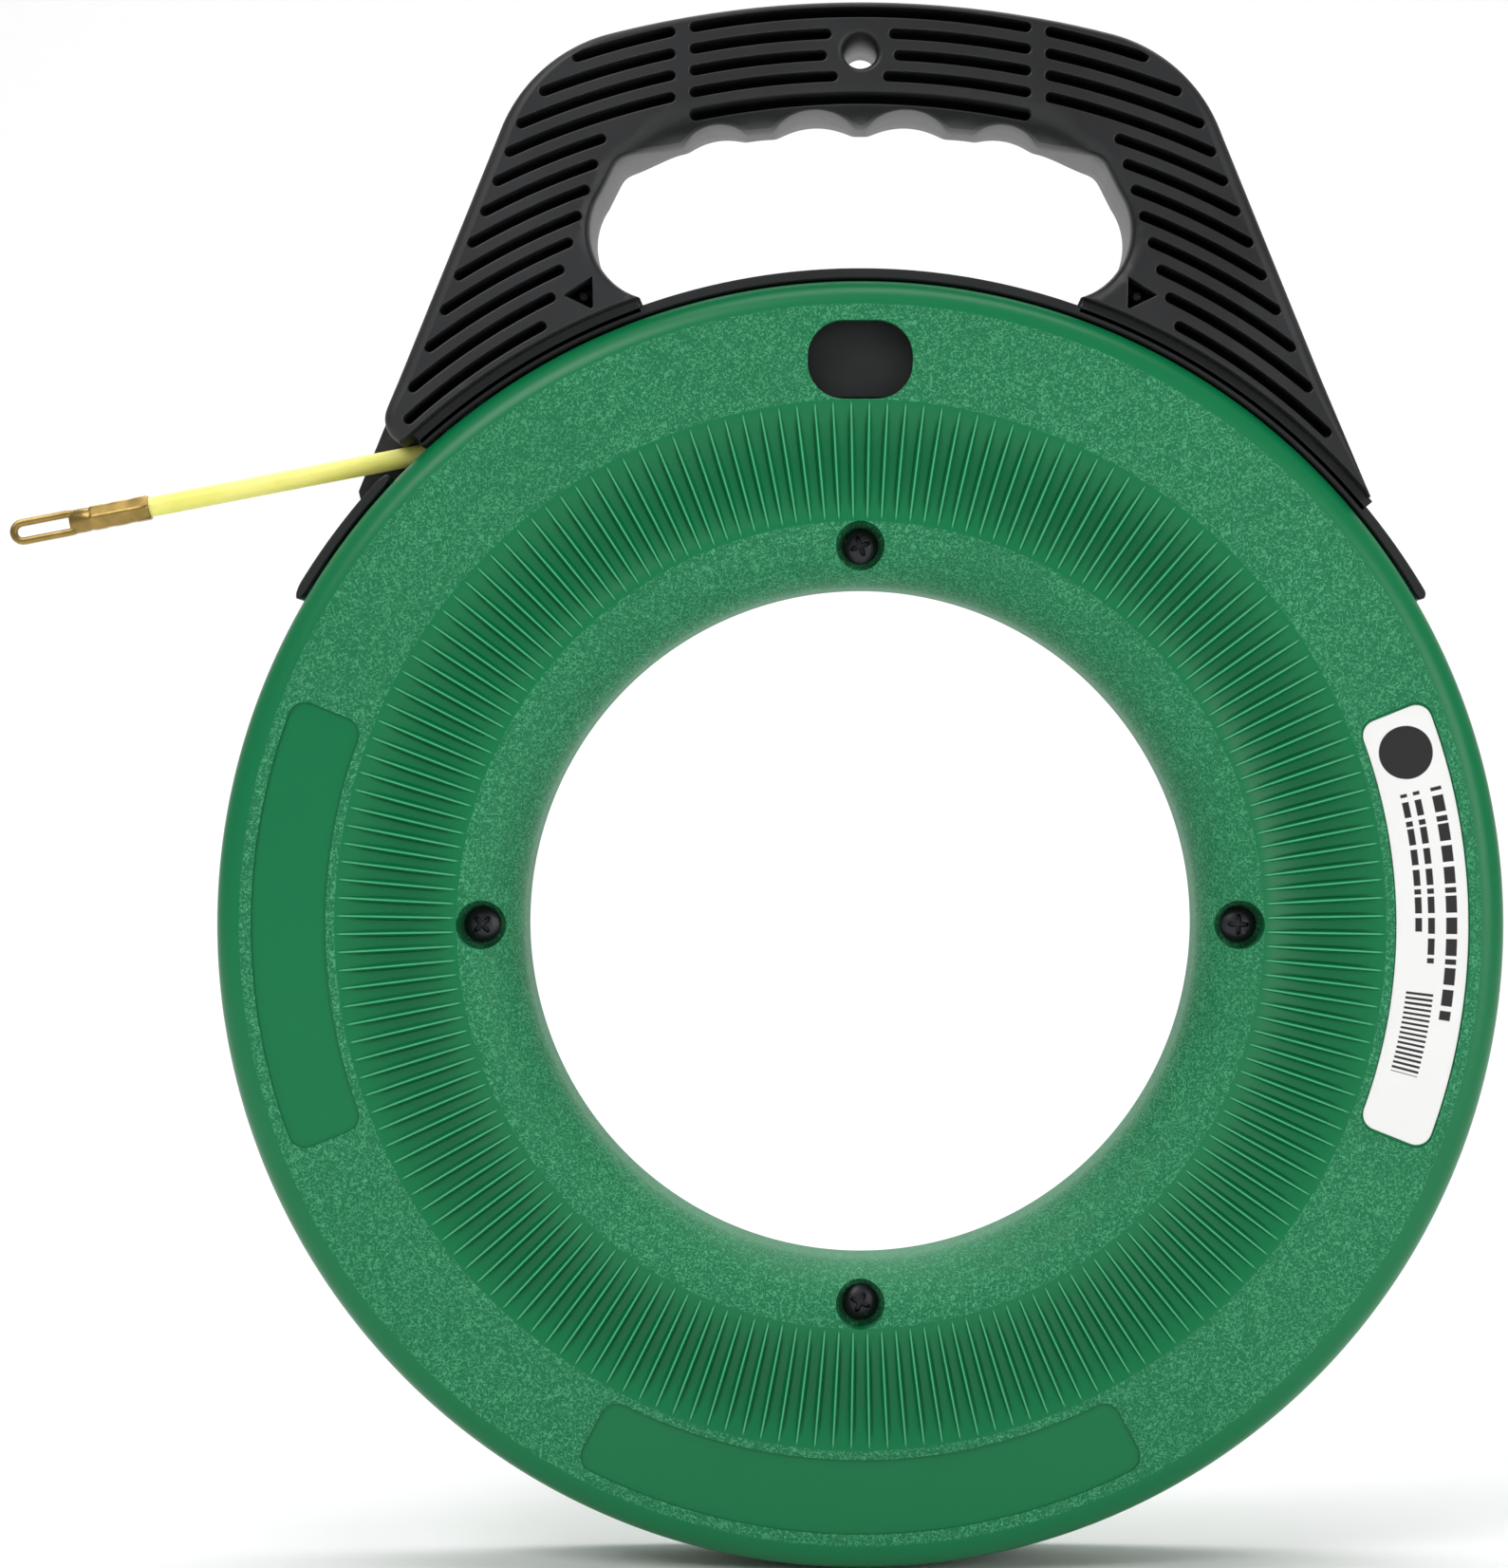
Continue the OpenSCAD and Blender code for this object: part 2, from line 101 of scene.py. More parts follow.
class CaseSizes(bpy.types.PropertyGroup):
    rim_r: size("Rim radius", "Outer radius of the case", CASE_HIGH[0])
    half_t: size("Half thickness", "From the middle plane to the front face", -CASE_LOW[1])
    wall: size("Wall", "Wall of the moulded halves", 2.6 * MM)
    hub_r: size("Hub radius", "Radius of the hand hole", HUB["dims"]["r_mm"] * MM)
    hub_roll: size("Hub curve", "Radius of the curve from the hub to the face", 14.4 * MM)
    rim_roll: size("Rim curve", "Radius of the curve at the rim", 6.5 * MM)
    rim_gap: size("Rim gap", "Width of the gap round the rim", 8.4 * MM)
    rib_in_r: size("Band inner radius", "Inner radius of the ribbed band", 94.2 * MM)
    rib_out_r: size("Band outer radius", "Outer radius of the ribbed band", 122.2 * MM)
    rib_dish: size("Band depth", "Depth of the hollow between the ribs", 1.8 * MM)
    rib_count: bpy.props.IntProperty(name="Ribs", description="Ribs round the band", default=180, min=30)
    rib_crest: size("Rib crest", "Half width of a rib's crest", 0.16 * MM)
    rib_draft: bpy.props.FloatProperty(name="Rib draft", description="Slope of a rib's flanks", default=2.4)
    pad_in_r: size("Pad radius", "Inner radius of the smooth pads", 124.4 * MM)
    pad_h: size("Pad height", "Radial height of the pads", 17.4 * MM)
    pad_depth: size("Pad depth", "Depth of the pads", 0.6 * MM)
    pad_corner: size("Pad corners", "Corner radius of the pads", 4 * MM)
    side_pad_span: turn("Side pad span", "Angle that a side pad spans", 44)
    base_pad_span: turn("Bottom pad span", "Angle that the bottom pad spans", 56)
    peep_w: size("Window width", "Width of the peep window", 24.5 * MM)
    peep_h: size("Window height", "Height of the peep window", 18.4 * MM)
    screw_ring_r: size("Screw circle", "Radius of the circle of screws", 88.4 * MM)
    recess_r: size("Recess radius", "Radius of a screw recess", 5.7 * MM)
    recess_depth: size("Recess depth", "Depth of a screw recess", 7.5 * MM)
    screw_head_r: size("Head radius", "Radius of a screw's head", 4.2 * MM)


class HandleSizes(bpy.types.PropertyGroup):
    half_t: size("Half thickness", "From the middle plane to the handle's face", -HANDLE_LOW[1])
    top: size("Top", "Height of the arched top", HANDLE_HIGH[2])
    arc_r: size("Top radius", "Radius of the arched top", 237 * MM)
    side_reach: size("Side reach", "From the hub's centre to a leg's outer side", 147.9 * MM)
    side_lean: turn("Side lean", "Lean of the legs' sides", 22.1)
    shoulder_r: size("Shoulder radius", "Radius of the shoulders", 37 * MM)
    side_edge: size("Side edge", "Rounding of the legs' outer edges", 3 * MM)
    top_edge: size("Top edge", "Rounding of the top's edges", 1.2 * MM)
    strip_in_r: size("Strip radius", "Inner radius of the strip outside the rim", 151.3 * MM)
    strip_t: size("Strip thickness", "Thickness of the strip", 2.5 * MM)
    strip_w: size("Strip width", "Width of the strip, front to back", 28 * MM)
    ledge: size("Ledge", "Height of the ledge between strip and legs", 1.6 * MM)
    slot_first_r: size("First slots", "Radius of the lowest row of slots", 158.2 * MM)
    slot_pitch: size("Slot pitch", "Distance between rows of slots", 4.98 * MM)
    slot_w: size("Slot width", "Width of a slot", 2.4 * MM)
    hang_r: size("Hanging hole", "Radius of the hanging hole", HANG["dims"]["r_mm"] * MM)
    hang_z: size("Hanging hole height", "Height of the hanging hole", HANG["pos_m"][2])


class TapeSizes(bpy.types.PropertyGroup):
    tape_r: size("Tape radius", "Radius of the tape", 2.4 * MM)
    leave_r: size("Leaving radius", "Radius at which the straight run starts", 129 * MM)
    drop: turn("Slope", "Slope of the free tape below level", 11)
    tape_out: size("Free length", "Tape between the case and the eye", 69.4 * MM)
    coil_in_r: size("Winding inside", "Inner radius of the winding", 98.4 * MM)
    coil_out_r: size("Winding outside", "Outer radius of the winding", COIL_HIGH[0])
    coil_w: size("Winding width", "Width of the winding", COIL_HIGH[1] - COIL_LOW[1])
    sleeve_l: size("Sleeve length", "Length of the eye's crimped sleeve", 14 * MM)
    sleeve_w: size("Sleeve width", "Width of the sleeve across its corners", 6.6 * MM)
    collar_l: size("Collar length", "Length of the eye's collar", 5.4 * MM)
    loop_l: size("Loop length", "Length of the flat loop", 14.4 * MM)
    loop_w: size("Loop width", "Width of the flat loop", 6.1 * MM)
    loop_t: size("Loop thickness", "Thickness of the flat loop", 2.4 * MM)
    loop_slot: size("Loop slot", "Width of the loop's slot", 2.6 * MM)


class ReelColours(bpy.types.PropertyGroup):
    case_smooth: paint("Case, smooth", "Smooth green plastic", (0.0015, 0.168, 0.056))
    case_pebbled: paint("Case, pebbled", "Pebbled green plastic", (0.005, 0.165, 0.062))
    handle_black: paint("Handle", "Black plastic", (0.013, 0.0135, 0.0145))
    tape_yellow: paint("Tape", "Yellow nylon", (0.90, 0.86, 0.27))
    eye_brass: paint("Eye", "Brass", (0.38, 0.26, 0.085))
    screw_black: paint("Screws", "Blackened steel", (0.035, 0.036, 0.04))
    label_white: paint("Label", "White vinyl", (0.86, 0.86, 0.85))
    label_ink: paint("Label ink", "Printing ink", (0.012, 0.012, 0.012))
    floor_pale: paint("Floor", "Pale floor", (0.86, 0.86, 0.86))


# ---- Mesh helpers --------------------------------------------------------

def stood(x, y, z):
    """Points drawn flat, x right, y up and z towards the front, set upright: (x, -z, y)."""
    return np.stack(np.broadcast_arrays(x, -z, y), axis=-1).reshape(-1, 3)


def grid_faces(rows, cols, wrap_rows=False, wrap_cols=False, start=0):
    """Quads between neighbouring rows and columns of a grid of points, row by row."""
    r = np.arange(rows if wrap_rows else rows - 1)
    c = np.arange(cols if wrap_cols else cols - 1)
    r0, c0 = (a.ravel() for a in np.meshgrid(r, c, indexing="ij"))
    r1, c1 = (r0 + 1) % rows, (c0 + 1) % cols
    return start + np.stack([r0 * cols + c0, r0 * cols + c1, r1 * cols + c1, r1 * cols + c0], axis=1)


class Shape:
    """Points and faces gathered from several surfaces, to be made into one mesh."""

    def __init__(self):
        self.points, self.faces, self.count = [], [], 0

    def add(self, points, faces, flip=False):
        """Adds a surface: an array of points and an array of faces that count from 0."""
        faces = np.asarray(faces)
        self.points.append(np.asarray(points, float))
        self.faces.append((faces[:, ::-1] if flip else faces) + self.count)
        self.count += len(points)
        return self

    def build(self, name, sharp=35.0):
        """Makes the mesh object, smooth shaded except across edges sharper than the angle given."""
        points = np.concatenate(self.points)
        sizes = np.concatenate([np.full(len(f), f.shape[1]) for f in self.faces])
        loops = np.concatenate([f.ravel() for f in self.faces])
        mesh = bpy.data.meshes.new(name)
        mesh.vertices.add(len(points))
        mesh.vertices.foreach_set("co", points.ravel())
        mesh.loops.add(len(loops))
        mesh.loops.foreach_set("vertex_index", loops)
        mesh.polygons.add(len(sizes))
        mesh.polygons.foreach_set("loop_start", np.concatenate([[0], np.cumsum(sizes)[:-1]]))
        mesh.polygons.foreach_set("use_smooth", np.ones(len(sizes), bool))
        mesh.update(calc_edges=True)
        mesh.validate()
        mesh.set_sharp_from_angle(angle=math.radians(sharp))
        piece = bpy.data.objects.new(name, mesh)
        bpy.context.scene.collection.objects.link(piece)
        return piece


def polar(r, a):
    """Flat points at a radius and an angle in radians: r times (cos a, sin a)."""
    return np.stack(np.broadcast_arrays(r * np.cos(a), r * np.sin(a)), axis=-1)


def bearing(point):
    """Angle of a flat point about the hub's axis."""
    return math.atan2(point[1], point[0])


def arc(cx, cy, r, a0, a1, n):
    """Points on an arc: centre plus r times (cos, sin) of n angles in degrees from a0 to a1."""
    return np.array([cx, cy]) + polar(r, np.radians(np.linspace(a0, a1, n)))


def unit(rows):
    """Each row divided by its length."""
    return rows / np.linalg.norm(rows, axis=1)[:, None]


def run_of(path):
    """How far along an open path each of its points lies."""
    return np.concatenate([[0], np.cumsum(np.linalg.norm(np.diff(path, axis=0), axis=1))])


def both_sides(path, edge):
    """A right-hand path that ends on the middle line, and its edge rounding, each followed by its
    mirror image back down the left."""
    return np.concatenate([path, path[-2::-1] * [-1, 1]]), np.concatenate([edge, edge[-2::-1]])


def spun(section, columns, closed=False):
    """A surface of revolution round the z axis: each (r, z) of the section at each column angle."""
    r, z = section[:, 0][:, None], section[:, 1][:, None]
    x, y = r * np.cos(columns)[None, :], r * np.sin(columns)[None, :]
    faces = grid_faces(len(section), len(columns), wrap_rows=closed, wrap_cols=True)
    return stood(x, y, np.broadcast_to(z, x.shape)), faces


def loop_normals(loop):
    """Unit normals to the left of a closed loop, from the chord between each point's neighbours,
    and how far a mitred corner reaches: one over the cosine of half its turn."""
    after = unit(np.roll(loop, -1, axis=0) - loop)
    chord = unit(after + np.roll(after, 1, axis=0))
    mitre = 1 / np.clip(np.sum(chord * after, axis=1), 0.6, 1)
    return np.stack([-chord[:, 1], chord[:, 0]], axis=1) * mitre[:, None]


def spread(points, step, closed=True):
    """The same outline with points about one step apart along it."""
    path = np.vstack([points, points[:1]]) if closed else points
    along = run_of(path)
    n = max(3, int(round(along[-1] / step)))
    at = np.linspace(0, along[-1], n + (not closed), endpoint=not closed)
    return np.stack([np.interp(at, along, path[:, i]) for i in (0, 1)], axis=1)


def inside(points, loop):
    """Which points lie inside a closed loop: those with an odd number of crossings to the right."""
    x, y = points[:, 0][:, None], points[:, 1][:, None]
    x0, y0 = loop[:, 0][None, :], loop[:, 1][None, :]
    x1, y1 = np.roll(x0, -1, axis=1), np.roll(y0, -1, axis=1)
    crosses = (y0 > y) != (y1 > y)
    at = x0 + (y - y0) * (x1 - x0) / np.where(y1 == y0, 1e-12, y1 - y0)
    return np.sum(crosses & (x < at), axis=1) % 2 == 1


def flat_cap(outer, holes, z, up=True, extra=None):
    """A flat face at height z that fills the outer loop and leaves the holes open, as triangles.
    Extra points inside it give the face something to bend at."""
    loops = [outer, *holes]
    points = np.concatenate(loops)
    if extra is not None:
        edge = np.min(np.hypot(*(extra[:, None] - points[None]).transpose(2, 0, 1)), axis=1)
        free = inside(extra, outer) & (edge > 0.5 * MM)
        for hole in holes:
            free &= ~inside(extra, hole)
        points = np.concatenate([points, extra[free]])
    starts = np.cumsum([0] + [len(p) for p in loops])
    edges = np.concatenate([
        np.stack([s + np.arange(n), s + (np.arange(n) + 1) % n], axis=1)
        for s, n in zip(starts, (len(p) for p in loops))])
    made = delaunay_2d_cdt([tuple(p) for p in points], edges.tolist(), [], 1, 1e-9)
    flat, faces = np.array(made[0]), np.array([f for f in made[2] if len(f) == 3])
    flat = flat[:, :2]
    middle = flat[faces].mean(axis=1)
    keep = inside(middle, outer)
    for hole in holes:
        keep &= ~inside(middle, hole)
    faces = faces[keep]
    a, b, c = (flat[faces[:, i]] for i in range(3))
    left = (b - a)[:, 0] * (c - a)[:, 1] - (b - a)[:, 1] * (c - a)[:, 0] > 0
    faces[left != up] = faces[left != up][:, ::-1]
    return stood(flat[:, 0], flat[:, 1], np.full(len(flat), z)), faces


def edge_wall(loop, rows):
    """A wall along a closed loop, solid on its left: each row is (how far in, height), and both may
    be arrays with a value for each point. Its first row is at the front."""
    normals = loop_normals(loop)
    inset = np.stack([np.broadcast_to(r[0], len(loop)) for r in rows])
    height = np.stack([np.broadcast_to(r[1], len(loop)) for r in rows])
    at = loop[None] + inset[..., None] * normals[None]
    return stood(at[..., 0], at[..., 1], height), grid_faces(len(rows), len(loop), wrap_cols=True), at


# ---- Materials -----------------------------------------------------------

def node_group(name, inputs, outputs):
    """An empty shader group with named sockets. Inputs are (name, kind, default)."""
    group = bpy.data.node_groups.new(name, "ShaderNodeTree")
    for label, kind, default in inputs:
        socket = group.interface.new_socket(label, in_out="INPUT", socket_type=kind)
        if default is not None:
            socket.default_value = default
    for label, kind in outputs:
        group.interface.new_socket(label, in_out="OUTPUT", socket_type=kind)
    return group, group.nodes.new("NodeGroupInput"), group.nodes.new("NodeGroupOutput")


class Wiring:
    """Short ways to add nodes to a tree and join them."""

    def __init__(self, tree, at=None):
        self.tree, self.at = tree, at

    def put(self, socket, value):
        if isinstance(value, bpy.types.NodeSocket):
            self.tree.links.new(value, socket)
        else:
            socket.default_value = value

    def node(self, kind, inputs=(), **settings):
        made = self.tree.nodes.new(kind)
        for key, value in settings.items():
            setattr(made, key, value)
        for socket, value in dict(inputs).items():
            self.put(made.inputs[socket], value)
        return made

    def group(self, name, **inputs):
        """Places a shader group, made when it is first asked for, on the object's own coordinates.
        Input names use _ for a space."""
        group = bpy.data.node_groups.get(name) or SHADER_GROUPS[name]()
        made = self.node("ShaderNodeGroup", {"Position": self.at}, node_tree=group)
        for key, value in inputs.items():
            self.put(made.inputs[key.replace("_", " ")], value)
        return made.outputs

    def math(self, operation, a, b=0.0, c=0.0, clamp=False):
        made = self.node("ShaderNodeMath", operation=operation, use_clamp=clamp)
        for socket, value in zip(made.inputs, (a, b, c)):
            self.put(socket, value)
        return made.outputs[0]

    def times(self, product, *factors):
        """The product of all the values."""
        for factor in factors:
            product = self.math("MULTIPLY", product, factor)
        return product

    def line(self, value, slope, start):
        """A straight line: the start, plus the slope times the value."""
        return self.math("MULTIPLY_ADD", value, slope, start)

    def length(self, a, b):
        """Length of the flat vector (a, b)."""
        return self.math("SQRT", self.math("ADD", self.times(a, a), self.times(b, b)))

    def parts(self, vector):
        """The three parts of a vector."""
        return self.node("ShaderNodeSeparateXYZ", {"Vector": vector}).outputs[:3]

    def step(self, value, low, high, out_low=0.0, out_high=1.0):
        """A smooth step from one value at low to another at high."""
        return self.node("ShaderNodeMapRange", {
            "Value": value, "From Min": low, "From Max": high, "To Min": out_low, "To Max": out_high},
            interpolation_type="SMOOTHSTEP").outputs["Result"]

    def fall(self, value, low, high):
        """A smooth step down, from 1 at low to 0 at high."""
        return self.step(value, low, high, 1.0, 0.0)

    def mix(self, share, a, b):
        made = self.node("ShaderNodeMix", data_type="RGBA")
        for socket, value in zip([made.inputs[0], made.inputs[6], made.inputs[7]], (share, a, b)):
            self.put(socket, value)
        return made.outputs[2]

    def noise(self, at, scale, detail=2.0, rough=0.5, distortion=0.0):
        return self.node("ShaderNodeTexNoise", {
            "Vector": at, "Scale": scale, "Detail": detail, "Roughness": rough,
            "Distortion": distortion}).outputs["Fac"]


def plastic_grain():
    """Group: the fine, uneven skin of moulded plastic. A fine noise makes the height, a broad one a
    slow change of shade, and a warped one between them the scuffs."""
    group, inp, out = node_group(
        "Plastic grain",
        [("Position", "NodeSocketVector", None), ("Grain scale", "NodeSocketFloat", 1800.0),
         ("Flow scale", "NodeSocketFloat", 22.0)],
        [("Height", "NodeSocketFloat"), ("Shade", "NodeSocketFloat"), ("Scuff", "NodeSocketFloat")])
    w = Wiring(group)
    at, grain_scale, flow_scale = inp.outputs[:3]
    w.put(out.inputs["Height"], w.noise(at, grain_scale, 3.0, 0.6))
    w.put(out.inputs["Shade"], w.noise(at, flow_scale, 3.0, 0.5, 0.4))
    scuff = w.noise(at, w.times(flow_scale, 9.0), 6.0, 0.7, 1.5)
    w.put(out.inputs["Scuff"], w.step(scuff, 0.56, 0.72))
    return group


def pebble_skin():
    """Group: a pebbled mould texture. Warped noise, folded about its middle, gives wandering ridges."""
    group, inp, out = node_group(
        "Pebble skin",
        [("Position", "NodeSocketVector", None), ("Scale", "NodeSocketFloat", 900.0)],
        [("Ridge", "NodeSocketFloat")])
    w = Wiring(group)
    cell = w.noise(inp.outputs["Position"], inp.outputs["Scale"], 1.0, 0.4, 0.6)
    fold = w.math("ABSOLUTE", w.math("SUBTRACT", cell, 0.5))
    w.put(out.inputs["Ridge"], w.fall(fold, 0.0, 0.09))
    return group


def edge_wear():
    """Group: lighter, smoother skin where the surface turns sharply outwards, broken up by noise."""
    group, inp, out = node_group(
        "Edge wear",
        [("Position", "NodeSocketVector", None), ("Breakup scale", "NodeSocketFloat", 260.0)],
        [("Wear", "NodeSocketFloat")])
    w = Wiring(group)
    bend = w.node("ShaderNodeNewGeometry").outputs["Pointiness"]
    broken = w.noise(inp.outputs["Position"], inp.outputs["Breakup scale"], 4.0, 0.6)
    w.put(out.inputs["Wear"], w.times(w.step(bend, 0.53, 0.62), w.step(broken, 0.35, 0.6)))
    return group


SHADER_GROUPS = {"Plastic grain": plastic_grain, "Pebble skin": pebble_skin, "Edge wear": edge_wear}


def tone(colour, gain=1.0, lift=0.0):
    """A colour made lighter or darker, each part times the gain plus the lift, with its alpha."""
    return (*np.minimum(1, np.array(colour) * gain + lift).tolist(), 1)


def surface(name, grain_scale, flow_scale):
    """A new material with a Principled surface. Gives it, its wiring, which holds the object's own
    coordinates, the surface node and its grain."""
    material = bpy.data.materials.new(name)
    material.use_nodes = True
    w = Wiring(material.node_tree)
    w.at = w.node("ShaderNodeTexCoord").outputs["Object"]
    grain = w.group("Plastic grain", Grain_scale=grain_scale, Flow_scale=flow_scale)
    return material, w, material.node_tree.nodes["Principled BSDF"], grain


def dress(w, shader, colour, rough, bump=None, **even):
    """Joins a colour, a roughness and a bump (height, distance, strength) to the surface node, and
    sets the sockets that are even all over it. Their names use _ for a space."""
    w.put(shader.inputs["Base Color"], colour)
    w.put(shader.inputs["Roughness"], rough)
    if bump:
        made = w.node("ShaderNodeBump", dict(zip(("Height", "Distance", "Strength"), bump)))
        w.put(shader.inputs["Normal"], made.outputs["Normal"])
    for name, value in even.items():
        shader.inputs[name.replace("_", " ")].default_value = value


def flow(w, fine):
    """A mask of slow, soft patches from the grain's shade."""
    return w.step(fine["Shade"], 0.35, 0.7)


def case_plastic(sizes, colours):
    """Green moulded plastic: smooth on the rim, pads, window edge and ribs, and pebbled on the face's
    outer band and the hub curve. The zones come from the radius about the case's axis and from how
    deep a point lies behind the face. Ribs get a painted highlight along their crests and, on one side,
    a painted shadow on their flanks, from the distance round the axis to the nearest rib's middle."""
    material, w, shader, fine = surface("case_plastic", 2200.0, 14.0)
    x, y, z = w.parts(w.at)
    r, depth = w.length(x, z), w.math("ABSOLUTE", y)
    face, band_in, band_out, count = sizes.half_t, sizes.rib_in_r, sizes.rib_out_r, sizes.rib_count
    rim = sizes.rim_r - sizes.rim_roll
    outer = w.times(w.step(r, band_out, band_out + 0.4 * MM), w.fall(r, rim + 0.3 * MM, rim + 0.7 * MM),
                    w.step(depth, face - 0.3 * MM, face - 0.15 * MM))
    zone = w.math("ADD", outer, w.fall(r, band_in - 0.5 * MM, band_in - 0.1 * MM), clamp=True)
    on_band = w.times(w.step(r, band_in, band_in + 1.5 * MM), w.fall(r, band_out - 1.5 * MM, band_out))
    turned = w.times(w.math("ARCTAN2", z, x), count / (2 * math.pi))
    off_rib = w.times(w.math("SUBTRACT", w.math("FRACT", turned), 0.5), r, 2 * math.pi / count)
    # painted shadow: one flank of each rib, on one side only, darkened as if shaded from the light
    flank_shadow = w.times(w.step(off_rib, 0.15 * MM, 0.3 * MM), w.fall(off_rib, 0.8 * MM, 1.2 * MM),
                    w.fall(depth, face - 1.3 * MM, face - 0.5 * MM), on_band)
    # painted highlight: a pale line along each rib's crest, where light catches it
    crest = w.times(w.fall(w.math("ABSOLUTE", off_rib), 0.12 * MM, 0.3 * MM), on_band,
                    w.step(depth, face - 0.4 * MM, face - 0.2 * MM))
    ridge = w.group("Pebble skin", Scale=1250.0)["Ridge"]
    green, lighter = colours.case_smooth, tone(colours.case_pebbled, 2.3, 0.08)
    colour = w.mix(zone, tone(green), tone(colours.case_pebbled))
    # the flank mask paints shadow on one side of each rib and the crest mask paints a highlight on its top; the
    # pebble ridges and the flow patches are the skin's own tone
    for mask, share, other in ((w.times(zone, ridge), 0.7, lighter), (flow(w, fine), 0.22, tone(green, 0.78)),
                               (flank_shadow, 0.6, tone(green, 0.35)), (crest, 0.75, lighter)):
        colour = w.mix(w.times(mask, share), colour, other)
    rough = w.math("ADD", w.times(zone, 0.17), w.line(fine["Scuff"], 0.06, 0.33))
    height = w.math("ADD", w.times(ridge, zone), w.times(fine["Height"], 0.08))
    dress(w, shader, colour, rough, (height, 0.00012, 0.8), Specular_IOR_Level=0.3)
    return material


def handle_plastic(colours):
    """Black moulded plastic with a satin skin: a fine grain, slow changes of gloss and paler edges."""
    material, w, shader, fine = surface("handle_plastic", 2600.0, 20.0)
    pale = tone(colours.handle_black, 2.4, 0.012)
    worn = w.group("Edge wear", Breakup_scale=240.0)["Wear"]
    colour = w.mix(w.times(w.step(fine["Shade"], 0.3, 0.75), 0.35), tone(colours.handle_black), pale)
    colour = w.mix(w.times(worn, 0.6), colour, pale)
    rough = w.line(fine["Shade"], 0.08, w.line(fine["Scuff"], 0.08, 0.36))
    dress(w, shader, colour, rough, (fine["Height"], 0.00002, 0.5), Specular_IOR_Level=0.32)
    return material


def tape_nylon(colours):
    """Translucent yellow nylon: light scatters inside it, and its colour changes slowly."""
    material, w, shader, fine = surface("tape_nylon", 900.0, 60.0)
    yellow = colours.tape_yellow
    colour = w.mix(flow(w, fine), tone(yellow), tone(yellow, (0.90, 0.92, 0.70)))
    dress(w, shader, colour, w.line(fine["Scuff"], 0.08, 0.34), (fine["Height"], 0.00002, 0.4),
          Subsurface_Weight=0.7, Subsurface_Radius=(0.6, 0.6, 0.12), Subsurface_Scale=0.004,
          Specular_IOR_Level=0.4)
    return material


def eye_metal(colours):
    """Stamped brass: a warm metal with a fine grit, darker stains and brighter worn edges."""
    material, w, shader, fine = surface("eye_brass", 3500.0, 220.0)
    brass = colours.eye_brass
    worn = w.group("Edge wear", Breakup_scale=900.0)["Wear"]
    colour = w.mix(w.times(flow(w, fine), 0.7), tone(brass), tone(brass, 0.55))
    colour = w.mix(w.times(worn, 0.7), colour, tone(brass, 1.6))
    dress(w, shader, colour, w.line(fine["Scuff"], 0.15, 0.34), (fine["Height"], 0.00005, 0.7), Metallic=1.0)
    return material


def dark_steel(name, colour):
    """Steel with a dull oxide skin: dark, slightly uneven, and brighter at worn edges."""
    material, w, shader, fine = surface(name, 3200.0, 260.0)
    worn = w.group("Edge wear", Breakup_scale=900.0)["Wear"]
    colour = w.mix(w.times(worn, 0.8), tone(colour), tone(colour, 2.5, 0.05))
    dress(w, shader, colour, w.line(fine["Scuff"], 0.15, 0.38), (fine["Height"], 0.00004, 0.6), Metallic=0.85)
    return material


def label_print(colours):
    """Printed vinyl. The label's own map runs along it, u, and up it, v, both in metres: a solid dot,
    three plain broken bars in place of lettering and a comb of even strokes, with nothing to read."""
    material, w, shader, fine = surface("label_vinyl", 1500.0, 40.0)
    u, v, _ = w.parts(w.node("ShaderNodeUVMap", uv_map="label").outputs["UV"])
    soft, dot_u, dot_v, dot_r = 0.12 * MM, 9.6 * MM, 8.4 * MM, 6.3 * MM

    def box(*sides):
        u0, u1, v0, v1 = (side * MM for side in sides)
        return w.times(w.step(u, u0 - soft, u0 + soft), w.fall(u, u1 - soft, u1 + soft),
                       w.step(v, v0 - soft, v0 + soft), w.fall(v, v1 - soft, v1 + soft))

    def wave(rate):
        return w.math("SINE", w.times(u, rate))

    away = w.length(w.math("SUBTRACT", u, dot_u), w.math("SUBTRACT", v, dot_v))
    ink = w.fall(away, dot_r - soft, dot_r + soft)
    letters = w.step(w.math("ADD", wave(1150.0), wave(2700.0)), -0.95, -0.75)
    strokes = w.step(wave(5200.0), -0.1, 0.2)
    for sides, broken in (((19, 72, 11.6, 14.2), letters), ((19, 60, 7.4, 9.0), letters),
                          ((19, 52, 4.4, 6.0), letters), ((66, 86, 3.2, 9.6), strokes)):
        ink = w.math("MAXIMUM", ink, w.times(box(*sides), broken))
    white = colours.label_white
    paper = w.mix(w.times(flow(w, fine), 0.3), tone(white), tone(white, 0.94))
    dress(w, shader, w.mix(ink, paper, tone(colours.label_ink)), w.line(fine["Scuff"], 0.06, 0.32),
          (fine["Height"], 0.00001, 0.4))
    return material


def pale_floor(colours):
    """A pale, even studio floor with a trace of unevenness."""
    material, w, shader, fine = surface("pale_floor", 300.0, 3.0)
    pale = colours.floor_pale
    dress(w, shader, w.mix(w.times(fine["Shade"], 0.04), tone(pale), tone(pale, 0.95)), 0.9, Specular_IOR_Level=0.1)
    return material


def finish_piece(piece, material, body, nodes=()):
    """Gives a piece its material and body, and hides the nodes that it stands for."""
    piece.data.materials.append(material)
    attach(piece, body)
    if nodes:
        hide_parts(*nodes)
    return piece


# ---- Case ----------------------------------------------------------------

